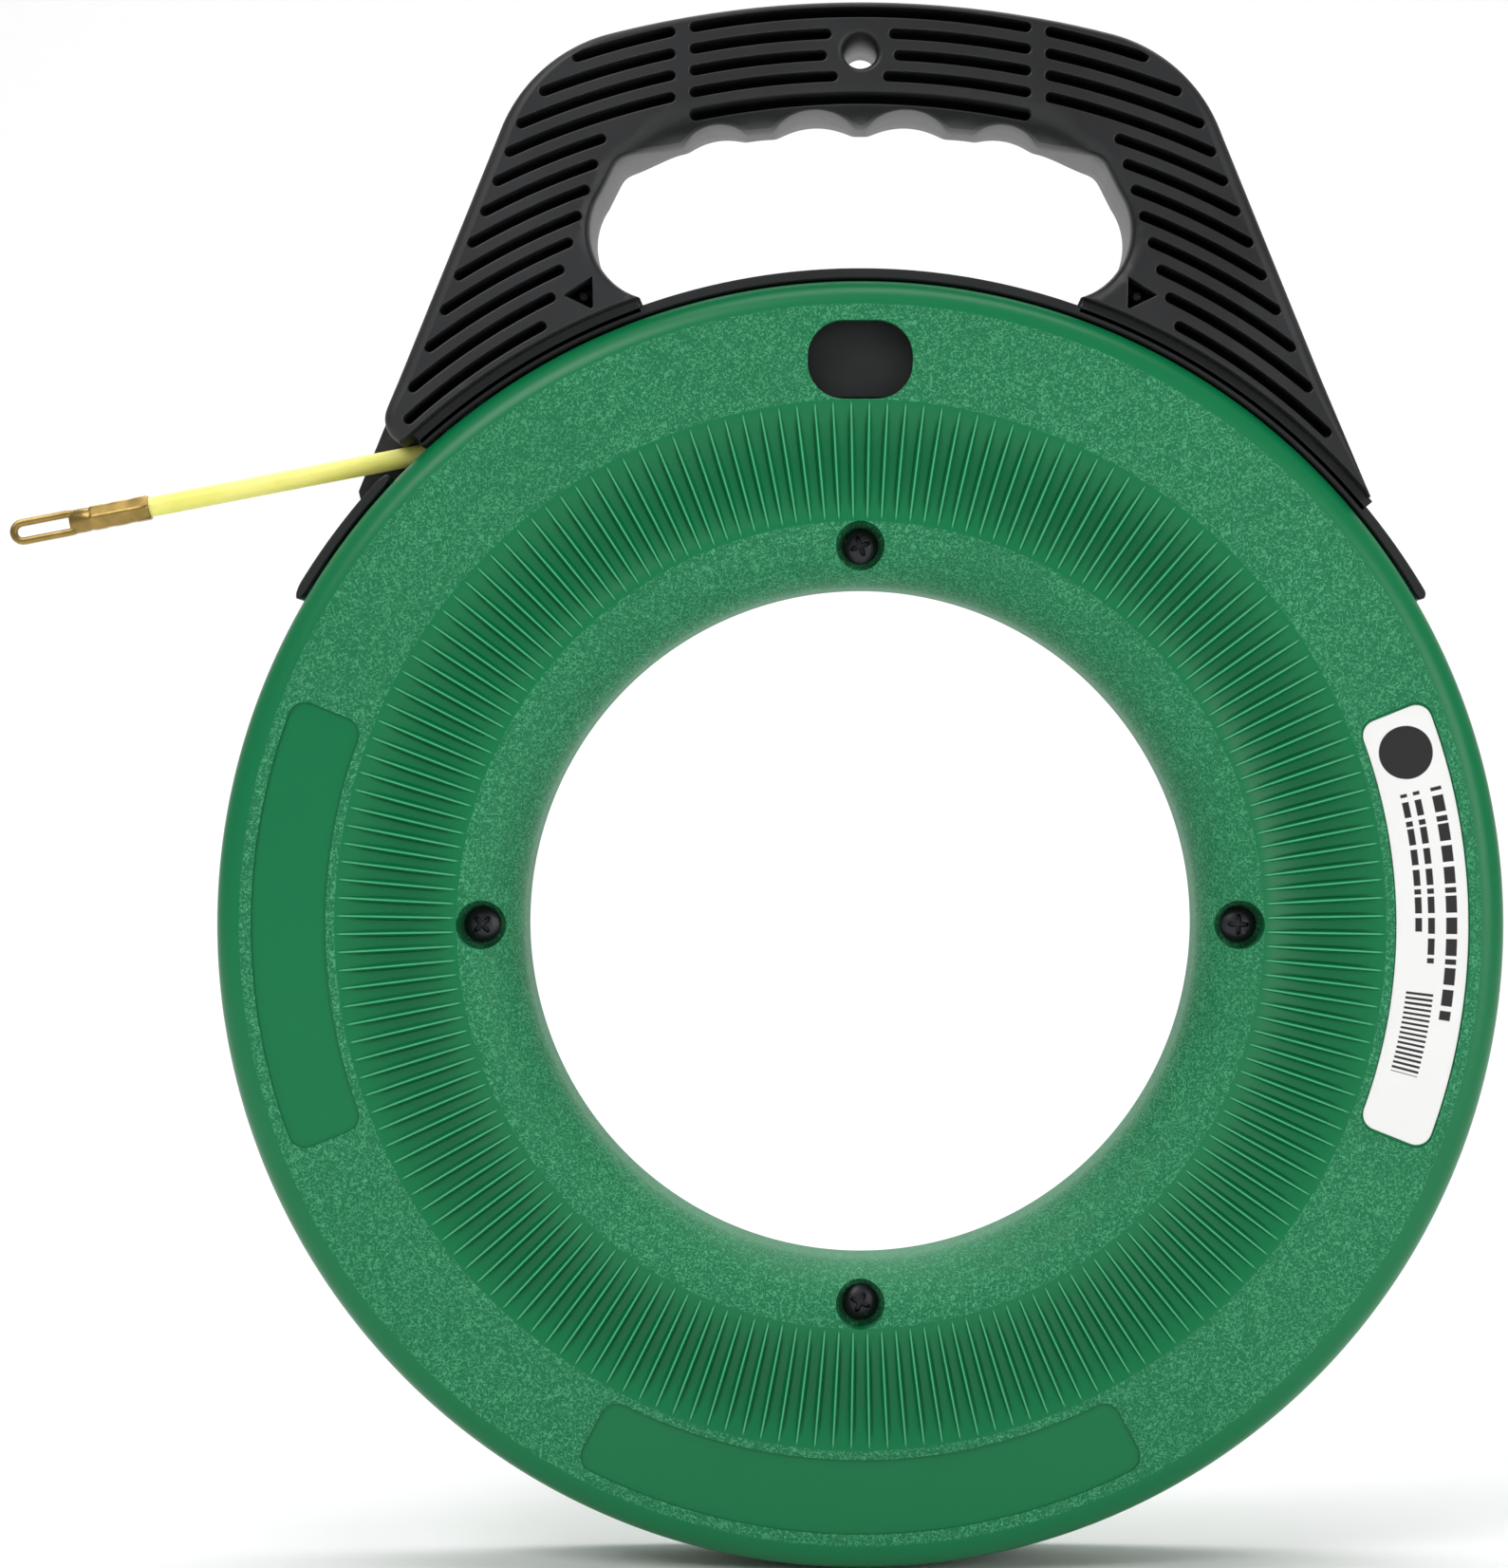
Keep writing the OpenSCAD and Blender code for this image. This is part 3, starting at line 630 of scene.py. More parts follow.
def rib_columns(s, r):
    """Angles of the columns at each radius. In each pitch they are a rib's two feet, its two crest
    edges and the middle of the ground. The feet move out as the hollow deepens, so the flanks keep
    their slope. Gives the angles and the share of the hollow's depth at each column."""
    half = (s.rib_out_r - s.rib_in_r) / 2
    middle = (s.rib_out_r + s.rib_in_r) / 2
    hollow = s.rib_dish * np.clip(1 - ((r - middle) / half) ** 2, 0, None)
    crest = s.rib_crest / r
    foot = (s.rib_crest + hollow / s.rib_draft + 0.02 * MM) / r
    pitch = 2 * math.pi / s.rib_count
    offsets = np.stack([-foot, -crest, crest, foot, np.full_like(r, pitch / 2)], axis=1)
    share = np.array([1.0, 0.0, 0.0, 1.0, 1.0])
    ribs = (np.arange(s.rib_count) + 0.5) * pitch
    angles = ribs[None, :, None] + offsets[:, None, :]
    return angles.reshape(len(r), -1), hollow, np.tile(share, s.rib_count)


def case_profile(s):
    """The closed half section of one moulded half, as (r, z): land, hub curve, band, face, rim curve
    and the way back along the inside."""
    land = s.half_t - s.hub_roll
    hub_c, rim_c, rim_z = s.hub_r + s.hub_roll, s.rim_r - s.rim_roll, s.half_t - s.rim_roll
    gap = s.rim_gap / 2
    inner = s.half_t - s.wall
    low = inner - s.rib_dish
    low_turn = math.degrees(math.asin((low - land) / (s.hub_roll - s.wall)))
    band = np.linspace(s.rib_in_r, s.rib_out_r, 13)
    outside = np.concatenate([
        [[s.hub_r, 0]],
        arc(hub_c, land, s.hub_roll, 180, 90, 16),
        np.stack([band, np.full_like(band, s.half_t)], axis=1),
        [[s.rib_out_r + 0.4 * MM, s.half_t]],
        arc(rim_c, rim_z, s.rim_roll, 90, 0, 12),
        [[s.rim_r, gap + 0.4 * MM], [s.rim_r - 0.4 * MM, gap]]])
    back = np.concatenate([
        [[s.rim_r - s.wall, gap]],
        arc(rim_c, rim_z, s.rim_roll - s.wall, 0, 90, 6),
        [[s.rib_out_r + 0.4 * MM, inner], [s.rib_out_r, low]],
        arc(hub_c, land, s.hub_roll - s.wall, 180 - low_turn, 180, 6),
        [[s.hub_r + s.wall, 0]]])
    return outside, back


def case_shell(s):
    """One half of the case as a closed grid: every section row at every rib column, with the ground
    between the ribs lowered by the hollow's depth."""
    outside, back = case_profile(s)
    section = np.concatenate([outside, back])
    r = section[:, 0]
    band_r = np.clip(r, s.rib_in_r, s.rib_out_r)
    angles, hollow, share = rib_columns(s, band_r)
    on_band = (r >= s.rib_in_r) & (r <= s.rib_out_r) & (np.arange(len(r)) < len(outside))
    drop = np.where(on_band, hollow, 0)[:, None] * share[None, :]
    z = section[:, 1][:, None] - drop
    x, y = r[:, None] * np.cos(angles), r[:, None] * np.sin(angles)
    faces = grid_faces(len(section), angles.shape[1], wrap_rows=True, wrap_cols=True)
    return x, y, z, faces


def bent_pad_loop(r0, r1, middle, span, corner, step=1.2 * MM):
    """Outline of a bent pad: two arcs, two radial ends and four round corners."""
    a0, a1 = middle - span / 2, middle + span / 2
    in_turn, out_turn = math.asin(corner / (r0 + corner)), math.asin(corner / (r1 - corner))

    def corner_arc(r, a, begin, end):
        return polar(r, a) + polar(corner, np.linspace(begin, end, 7))

    def long_arc(r, begin, end):
        return polar(r, np.linspace(begin, end, max(3, int(abs(end - begin) * r / step)))[1:-1])

    quarter = math.pi / 2
    return np.concatenate([
        corner_arc(r1 - corner, a0 + out_turn, a0 - quarter, a0 + out_turn),
        long_arc(r1, a0 + out_turn, a1 - out_turn),
        corner_arc(r1 - corner, a1 - out_turn, a1 - out_turn, a1 + quarter),
        corner_arc(r0 + corner, a1 - in_turn, a1 + quarter, a1 - in_turn + math.pi),
        long_arc(r0, a1 - in_turn, a0 + in_turn),
        corner_arc(r0 + corner, a0 + in_turn, a0 + in_turn + math.pi, a0 + 3 * quarter)])


def plug(shape, loop, z0, z1):
    """A straight-sided block over a loop, from height z0 up to z1, used to cut with."""
    wall, faces, _ = edge_wall(loop, [(0, z1), (0, z0)])
    shape.add(wall, faces, flip=True)
    shape.add(*flat_cap(loop, [], z1, up=True))
    shape.add(*flat_cap(loop, [], z0, up=False))


def window_loop(s):
    """The peep window: a rectangle with large round corners."""
    corner = 8.4 * MM
    w, h = s.peep_w / 2 - corner, s.peep_h / 2 - corner
    middle = s.rib_out_r + s.peep_h / 2 + 0.2 * MM
    return np.concatenate([arc(sx * w, middle + sy * h, corner, a, a + 90, 9)
                           for sx, sy, a in ((1, 1, 0), (-1, 1, 90), (-1, -1, 180), (1, -1, 270))])


def cut_away(piece, tool):
    """Takes the tool's solid away from the piece for good, and removes the tool."""
    cutter = piece.modifiers.new("cut", "BOOLEAN")
    cutter.operation, cutter.solver, cutter.object = "DIFFERENCE", "EXACT", tool
    result = bpy.data.meshes.new_from_object(
        piece.evaluated_get(bpy.context.evaluated_depsgraph_get()))
    piece.modifiers.remove(cutter)
    old = piece.data
    piece.data = result
    result.name = piece.name
    bpy.data.meshes.remove(old)
    bpy.data.objects.remove(tool)
    result.polygons.foreach_set("use_smooth", np.ones(len(result.polygons), bool))
    result.set_sharp_from_angle(angle=math.radians(32))


def screw_places(s):
    """Centres of the four screws, from the top round."""
    return polar(s.screw_ring_r, np.radians(90 + 90 * np.arange(4)))


def at_place(points, faces, place):
    """The same surface moved across the face to a place."""
    return points + np.array([place[0], 0, place[1]]), faces


def case_half(s, front):
    """Front or rear half of the case. The rear is the front's mirror image without the window, the screw recesses and
    the pad under the label.
    """
    name = "front_case_shell" if front else "rear_case_shell"
    side = 1 if front else -1
    shape = Shape()
    x, y, z, faces = case_shell(s)
    shape.add(stood(x, y, side * z), faces, flip=front)
    piece = shape.build(name, 32)
    tool = Shape()
    floor = s.half_t - s.pad_depth
    pads = [(0, s.side_pad_span), (math.pi, s.side_pad_span), (1.5 * math.pi, s.base_pad_span)]
    above = s.half_t + 2 * MM
    for middle, span in pads if front else pads[1:]:
        loop = bent_pad_loop(s.pad_in_r, s.pad_in_r + s.pad_h, middle, span, s.pad_corner)
        plug(tool, loop, *((floor, above) if front else (-above, -floor)))
    if front:
        plug(tool, window_loop(s), s.half_t - 8 * MM, above)
        for place in screw_places(s):
            plug(tool, arc(*place, s.recess_r, 0, 360 * 47 / 48, 48), s.half_t - 8 * MM, above)
    cut_away(piece, tool.build(name + "_tool"))
    return piece


def screw_posts(s, front):
    """The posts round the screws: in front, a cup whose floor takes the head; behind, a plain tube."""
    columns = np.linspace(0, 2 * math.pi, 40, endpoint=False)
    shape = Shape()
    seat = s.half_t - s.recess_depth
    if front:
        top = s.half_t - s.wall + 1.2 * MM
        section = np.array([[2.3, seat], [2.3, seat - 3 * MM], [7.5, seat - 3 * MM], [7.5, top],
                            [5.68, top], [5.68, seat]])
    else:
        top, low = seat - 3 * MM, -s.half_t + s.wall
        section = np.array([[1.9, top], [1.9, low], [5.4, low], [5.4, top]])
    section[:, 0] *= MM
    for place in screw_places(s):
        points, faces = spun(section, columns, closed=True)
        if front:
            r = np.hypot(points[:, 0] + place[0], points[:, 2] + place[1])
            skin = s.half_t - s.hub_roll + np.sqrt(np.clip(
                s.hub_roll ** 2 - np.clip(s.hub_r + s.hub_roll - r, 0, None) ** 2, 0, None))
            points[:, 1] = np.maximum(points[:, 1], -(skin - 0.5 * MM))
        shape.add(*at_place(points, faces, place))
    return shape.build("front_posts" if front else "rear_posts", 32)


def screw_set(s):
    """Four pan head screws. A head's height is a dome over the radius, and inside the drive's
    outline, four lobes given by the cosine of four times the angle, it drops to a flat floor."""
    seat = s.half_t - s.recess_depth
    rows, cols = 24, 64
    angle = np.linspace(0, 2 * math.pi, cols, endpoint=False)[None, :]
    share = np.concatenate([[0.02], np.linspace(0.12, 1, rows)])[:, None]
    r = share * s.screw_head_r
    lobe = (1.45 + 0.75 * np.cos(4 * angle) + 0.15 * np.cos(8 * angle)) * MM
    dome = seat + 2.8 * MM - 1.25 * MM * share ** 2.6
    inside_drive = np.clip((lobe - r) / (0.16 * MM) + 0.5, 0, 1)
    z = dome - inside_drive * 1.7 * MM * (1 - 0.25 * share)
    x, y = r * np.cos(angle), r * np.sin(angle)
    shape = Shape()
    skirt = np.array([[s.screw_head_r, seat + 1.5 * MM], [s.screw_head_r + 0.02 * MM, seat + 1.2 * MM],
                      [s.screw_head_r, seat], [2 * MM, seat], [2 * MM, seat - 20 * MM],
                      [0.8 * MM, seat - 22 * MM], [0.02 * MM, seat - 22 * MM]])
    for i, place in enumerate(screw_places(s)):
        t = 0.35 + 0.4 * i
        top = stood(x * math.cos(t) - y * math.sin(t), x * math.sin(t) + y * math.cos(t), z)
        shape.add(*at_place(top, grid_faces(rows + 1, cols, wrap_cols=True), place), flip=True)
        points, faces = spun(skirt, angle[0])
        shape.add(*at_place(points, faces, place), flip=True)
        middle = top[:cols].mean(axis=0, keepdims=True)
        fan = np.stack([np.full(cols, cols), np.arange(cols), (np.arange(cols) + 1) % cols], axis=1)
        shape.add(*at_place(np.vstack([top[:cols], middle]), fan, place), flip=True)
    return shape.build("case_screw_set", 40)


def label_sheet(s):
    """The label: a thin bent pad with rolled edges, and a map that unrolls it along its middle arc."""
    corner = s.pad_corner - 0.3 * MM
    span = s.side_pad_span - math.radians(0.6)
    base, thick = s.half_t - s.pad_depth, 0.25 * MM
    r0, r1 = s.pad_in_r + 0.3 * MM, s.pad_in_r + s.pad_h - 0.3 * MM
    loop = bent_pad_loop(r0, r1, 0, span, corner)
    rows = [(0.12 * MM, base + thick), (0.03 * MM, base + thick - 0.04 * MM), (0, base + thick - 0.12 * MM),
            (0, base)]
    wall, faces, at = edge_wall(loop, rows)
    shape = Shape()
    shape.add(wall, faces, flip=True)
    shape.add(*flat_cap(at[0], [], base + thick, up=True))
    shape.add(*flat_cap(at[-1], [], base, up=False))
    piece = shape.build("printed_label", 60)
    mesh = piece.data
    co = np.empty(len(mesh.vertices) * 3)
    mesh.vertices.foreach_get("co", co)
    x, _, z = co.reshape(-1, 3).T
    radius, around = np.hypot(x, z), np.arctan2(z, x)
    along = (span / 2 - around) * (r0 + r1) / 2
    index = np.empty(len(mesh.loops), np.int32)
    mesh.loops.foreach_get("vertex_index", index)
    flat = np.stack([along, radius - r0], axis=1)[index]
    mesh.uv_layers.new(name="label").data.foreach_set("uv", flat.ravel())
    return piece


# ---- Handle --------------------------------------------------------------

def ledge_radius(s):
    """Radius of the ledge between the strip and the legs."""
    return s.strip_in_r + s.strip_t + s.ledge


def shoulder_centre(s):
    """Centre of the shoulder's arc: as far inside the leg's side as its radius, and on the circle
    inside the arched top by the same radius. Solved along the line parallel to the side."""
    n = polar(1, s.side_lean)
    t = np.array([-n[1], n[0]])
    start = n * (s.side_reach - s.shoulder_r)
    d = start - [0, s.top - s.arc_r]
    b, c = t @ d, d @ d - (s.arc_r - s.shoulder_r) ** 2
    return start + t * (-b + math.sqrt(b * b - c))


def outer_side(s):
    """The arch's outer outline from the right foot over the top to the left foot, and the edge
    rounding at each point: wide on the legs, narrow on the top, fading out at the feet."""
    side_points, shoulder_points, fade = 40, 24, 30 * MM
    centre = shoulder_centre(s)
    foot = polar(ledge_radius(s), meet(ledge_radius(s), s.side_reach, s.side_lean))
    turn_up = math.degrees(math.atan2(centre[1] - (s.top - s.arc_r), centre[0]))
    side_end = centre + polar(s.shoulder_r, s.side_lean)
    side = foot + (side_end - foot) * np.linspace(0, 1, side_points)[:, None]
    shoulder = arc(*centre, s.shoulder_r, math.degrees(s.side_lean), turn_up, shoulder_points)
    over = arc(0, s.top - s.arc_r, s.arc_r, turn_up, 90, 30)
    half = np.concatenate([side[:-1], shoulder[:-1], over])
    run = run_of(half)
    side_run, shoulder_run = run[side_points - 2], run[side_points - 2 + shoulder_points]
    edge = np.interp(run, [0, fade, side_run, shoulder_run, run[-1]],
                     [0.15 * MM, s.side_edge, s.side_edge, s.top_edge, s.top_edge])
    return both_sides(half, edge)


def eased(values, width, step):
    """A running mean over about a width, weighted by a raised cosine; the ends stay as they are."""
    n = max(1, int(width / step / 2))
    kernel = np.hanning(2 * n + 3)[1:-1]
    padded = np.concatenate([2 * values[:1] - values[n:0:-1], values, 2 * values[-1:] - values[-2:-n - 2:-1]])
    return np.stack([np.convolve(c, kernel / kernel.sum(), "valid") for c in np.atleast_2d(padded.T)]).T


def window_side(s, scalloped=True):
    """The finger window's outline from its left foot over the top to its right foot. Each end is an
    arc, a leaning line and a rounded corner; the top is a shallow crown, and where it is scalloped,
    the highest of the crown and four arcs. Gives the outline and its edge rounding."""
    end_x, end_y, end_r, step = 47.0 * MM, 162.2 * MM, 16.2 * MM, 0.5 * MM
    low = arc(end_x, end_y, end_r, -80, 34, 40)
    low = low[np.hypot(*low.T) > ledge_radius(s) + 0.15 * MM]
    start = polar(ledge_radius(s), np.array([bearing(low[0]) + 0.003]))
    crown = np.array([[60.1, 171.9], [56.5, 179.1], [43.7, 182.7], [34, 184.9], [24, 186.4], [12, 187.1],
                      [0, 187.3]])
    crown = spread(crown * MM, step, closed=False)
    whole = eased(both_sides(crown, crown[:, 0])[0], 6 * MM, step)
    if scalloped:
        for middle, high, r in np.array([[32.5, 187.4, 11.8], [10.5, 190.6, 14.5]]) * MM:
            reach = r ** 2 - (np.abs(whole[:, 0]) - middle) ** 2
            lifted = np.maximum(whole[:, 1], high - r + np.sqrt(np.clip(reach, 0, None)))
            whole[:, 1] = np.where(reach > 0, lifted, whole[:, 1])
        whole = eased(whole, 2.5 * MM, step)
    right = np.concatenate([start, low, whole[1:len(crown)]])
    edge = np.interp(run_of(right), [0, 4 * MM, 20 * MM, 60 * MM], [0.3 * MM, 1.0 * MM, 1.2 * MM, 0.7 * MM])
    path, edges = both_sides(right, edge)
    return path[::-1], edges[::-1]


def rolled_under(s, points):
    """Rounds the grip and the legs towards the finger window. A point's distance q from the window's
    plain outline gives how far the face drops there, as on an ellipse: a(1 - sqrt(1 - (1 - q/b)^2)).
    The ellipse is large under the grip and small beside the legs, and larger behind than in front."""
    plain, _ = window_side(s, scalloped=False)
    x, y, z = points[:, 0], points[:, 2], -points[:, 1]
    near = np.flatnonzero((np.abs(x) < 90 * MM) & (y > 140 * MM))
    gap = np.hypot(x[near][:, None] - plain[:, 0][None], y[near][:, None] - plain[:, 1][None])
    q, which = gap.min(axis=1), gap.argmin(axis=1)
    grip = np.clip((56 * MM - np.abs(plain[which, 0])) / (14 * MM), 0, 1)
    grip = grip * grip * (3 - 2 * grip) * (plain[which, 1] > 170 * MM)
    front = z[near] > 0
    b = np.where(front, 3.5 + 5.5 * grip, 4.5 + 11.5 * grip) * MM
    a = np.where(front, 3.0 + 12.0 * grip, 4.5 + 11.5 * grip) * MM
    drop = a * (1 - np.sqrt(1 - np.clip(1 - q / b, 0, 1) ** 2))
    moved = points.copy()
    moved[near, 1] *= 1 - drop / s.half_t
    return moved


def foot_arc(s, begin, end):
    """Points along the legs' lower edge between two points. It follows the rim, with a narrow rounding."""
    a0, a1 = bearing(begin), bearing(end)
    n = max(4, int(abs(a1 - a0) * ledge_radius(s) / (2.0 * MM)))
    path = polar(ledge_radius(s), np.linspace(a0, a1, n))[1:-1]
    return path, np.full(len(path), 0.7 * MM)


def arch_loop(s, notched):
    """The arch's closed outline, solid on its left, and its edge rounding. With the notch, the left
    leg ends early in a round end above the tape."""
    outer, outer_edge = outer_side(s)
    window, window_edge = window_side(s)
    if notched:
        end_r, end_near = 6.4 * MM, np.array([-104.0, 117.8]) * MM
        n = polar(1, math.pi - s.side_lean)
        along = np.array([-n[1], n[0]])
        centre = n * (s.side_reach - end_r)
        centre = centre + along * ((end_near - centre) @ along)
        keep = ((outer - centre) @ along * np.sign(along[1]) > 0) | (outer[:, 0] > -60 * MM)
        outer, outer_edge = outer[keep], outer_edge[keep]
        begin = 180 - math.degrees(s.side_lean)
        end = arc(*centre, end_r, begin, begin + 150, 22)
        end = end[np.hypot(*end.T) > ledge_radius(s) + 0.1 * MM]
        outer = np.concatenate([outer, end])
        outer_edge = np.concatenate([outer_edge, np.full(len(end), s.side_edge * 0.8)])
    left, left_edge = foot_arc(s, outer[-1], window[0])
    right, right_edge = foot_arc(s, window[-1], outer[0])
    loop = np.concatenate([outer, left, window, right])
    edge = np.concatenate([outer_edge, left_edge, window_edge, right_edge])
    smooth = edge.copy()
    for shift in range(1, 4):
        smooth = np.minimum(smooth, np.minimum(np.roll(edge, shift), np.roll(edge, -shift)) + shift * 0.5 * MM)
    return loop, smooth


def slot_loop(r, width, a0, a1):
    """A bent slot with round ends between two angles, solid outside it, so it runs clockwise."""
    half = width / 2
    lo, hi = min(a0, a1) + half / r, max(a0, a1) - half / r
    along = np.linspace(lo, hi, max(4, int((hi - lo) * r / (4 * MM))))
    bend = np.linspace(0, math.pi, 8)[1:-1]
    far, near = polar(r, hi) + polar(half, hi + bend), polar(r, lo) + polar(half, lo + math.pi + bend)
    return np.concatenate([polar(r + half, along), far, polar(r - half, along[::-1]), near])[::-1]


def meet(r, d, lean):
    """Angle at which a circle of radius r crosses a line that leans and lies d from its centre."""
    return lean + math.acos(d / r)


def slot_loops(s, notched):
    """All the slots of one face. Each row follows a circle round the hub. On the legs a row runs from
    the outer side, or the shoulder, to the window or the upright web; on the grip, from web to web,
    broken by the ring round the hanging hole in the middle rows."""
    loops = []
    side, window, window_lean = s.side_reach - 3.4 * MM, 112.7 * MM, math.radians(17.8)
    web_out, web_in, ring_r, leg_cut = 43.2 * MM, 39.8 * MM, 7.9 * MM, 4.6 * MM
    for k in range(12):
        r = s.slot_first_r + s.slot_pitch * k
        outer = math.radians({10: 68.9, 11: 71.6}[k]) if k > 9 else meet(r, side, s.side_lean)
        inner = meet(r, window, window_lean) if k < 8 else math.acos(web_out / r)
        spans, short = [(outer, inner)], (leg_cut / r if notched and k == 0 else 0)
        start = math.acos(web_in / r)
        if k in (7, 11):
            loops.append(slot_loop(r, s.slot_w, start, math.pi - start))
        elif k > 7:
            spans.append((start, math.acos(math.sqrt(max(0, ring_r ** 2 - (r - s.hang_z) ** 2)) / r)))
        for a0, a1 in spans:
            loops.append(slot_loop(r, s.slot_w, a0, a1))
            loops.append(slot_loop(r, s.slot_w, math.pi - a0 - short, math.pi - a1))
    notch = np.array([[62.6, 151.2], [62.4, 143.6], [69.2, 146.9]]) * MM
    return [*loops, spread(notch[::-1], 1.0 * MM), spread(notch * [-1, 1], 1.0 * MM)]


def clear_of_tape(at, first):
    """Lifts the left leg's end above the free tape in the rows from first on: points closer to the
    tape's line than its clearance, or below it, move straight up from the line by what they lack."""
    start, _, up = tape_axes(bpy.context.scene.reel_tape)
    lack = np.clip(TAPE_WAY - (at - start) @ up, 0, None)
    lack[:first] = 0
    lack[(at[..., 0] > -95 * MM) | (at[..., 1] > 135 * MM)] = 0
    return at + lack[..., None] * up


def slab(shape, s, notched, z_face, z_back, slot_floor):
    """One half of the arch: face, rounded edges, walls to its back, slots with their floors, and the
    hanging hole. z_face is the seen face, above z_back for the front half and below for the rear. The
    legs' outer sides bulge at the rear half's back."""
    up = z_face > z_back
    sign = 1 if up else -1
    loop, edge = arch_loop(s, notched)
    turns = np.linspace(0, math.pi / 2, 5)
    rows = [(edge * (1 - math.sin(t)), z_face - sign * edge * (1 - math.cos(t))) for t in turns]
    across, height = np.abs(loop[:, 0]), loop[:, 1]
    leg = np.clip((across - 78 * MM) / (20 * MM), 0, 1) * (height < 160 * MM)
    leg *= np.hypot(across, height) > ledge_radius(s) + 0.5 * MM
    leg *= across * math.cos(s.side_lean) + height * math.sin(s.side_lean) > s.side_reach - 0.2 * MM
    if notched:
        rows += [(0, TAPE_WAY + 0.02 * MM), (0, TAPE_WAY)]
    bulge = 1.7 * MM
    rows.append((0 if up else -bulge * leg, z_back))
    wall, faces, at = edge_wall(loop, rows)
    if notched:
        at = clear_of_tape(at, len(rows) - 2)
        wall[:, 0], wall[:, 2] = at[..., 0].ravel(), at[..., 1].ravel()
    shape.add(wall, faces, flip=up)
    caps = []

    def opening(hole, lip, bottom):
        lip = [(inset * MM, z_face - sign * drop * MM) for inset, drop in lip]
        wall, faces, cut = edge_wall(hole, [*lip, (0, bottom)])
        shape.add(wall, faces, flip=up)
        caps.append(cut[0])
        return cut[-1]

    for hole in slot_loops(s, notched):
        low = opening(hole, ((0.35, 0), (0.105, 0.105), (0, 0.35)), slot_floor)
        shape.add(*flat_cap(low[::-1], [], slot_floor, up=up))
    ring = arc(0, s.hang_z, s.hang_r, 0, -360 * 47 / 48, 48)
    opening(ring, ((1.1, 0), (0.8, 0.08), (0.3, 0.4), (0, 1.0)), z_back)
    plain, _ = window_side(s, scalloped=False)
    plain = spread(plain, 2.2 * MM, closed=False)
    outwards = loop_normals(plain)[2:-2]
    extra = np.concatenate([plain[2:-2] + q * MM * outwards for q in (0.8, 1.8, 3, 4.5, 6.2, 8.2, 10.5, 13, 16)])
    shape.add(*flat_cap(at[0], caps, z_face, up=up, extra=extra))
    shape.add(*flat_cap(at[-1], [ring], z_back, up=not up))


def sector(shape, r0, r1, z0, z1, a0, a1, edge=0.4 * MM, taper=0.0):
    """A bent bar: a rectangle with cut corners swept round the hub from a0 to a1 degrees. Over the
    taper's length its ends close in a half circle."""
    mid_r = (r0 + r1) / 2
    section = np.array([[r0, z0 + edge], [r0 + edge, z0], [r1 - edge, z0], [r1, z0 + edge],
                        [r1, z1 - edge], [r1 - edge, z1], [r0 + edge, z1], [r0, z1 - edge]])
    n = max(6, int(math.radians(a1 - a0) * mid_r / (2.5 * MM)))
    along = np.linspace(0, 1, n)
    if taper:
        share = taper / (math.radians(a1 - a0) * mid_r)
        ends = share * (1 - np.cos(np.linspace(0, math.pi / 2, 7)))
        along = np.concatenate([ends, np.linspace(share, 1 - share, n)[1:-1], (1 - ends)[::-1]])
        near = np.clip(np.minimum(along, 1 - along) / share, 0, 1)
        scale = np.sqrt(np.clip(1 - (1 - near) ** 2, 1e-4, 1))
    else:
        scale = np.ones(n)
    angle = np.radians(a0 + (a1 - a0) * along)
    r = mid_r + (section[:, 0][None] - mid_r) * scale[:, None]
    z = np.broadcast_to(section[:, 1][None], r.shape)
    points = stood(r * np.cos(angle)[:, None], r * np.sin(angle)[:, None], z)
    shape.add(points, grid_faces(len(angle), 8, wrap_cols=True))
    last = (len(angle) - 1) * 8
    shape.add(points, np.array([[0, 7, 6, 5, 4, 3, 2, 1], last + np.arange(8)]))


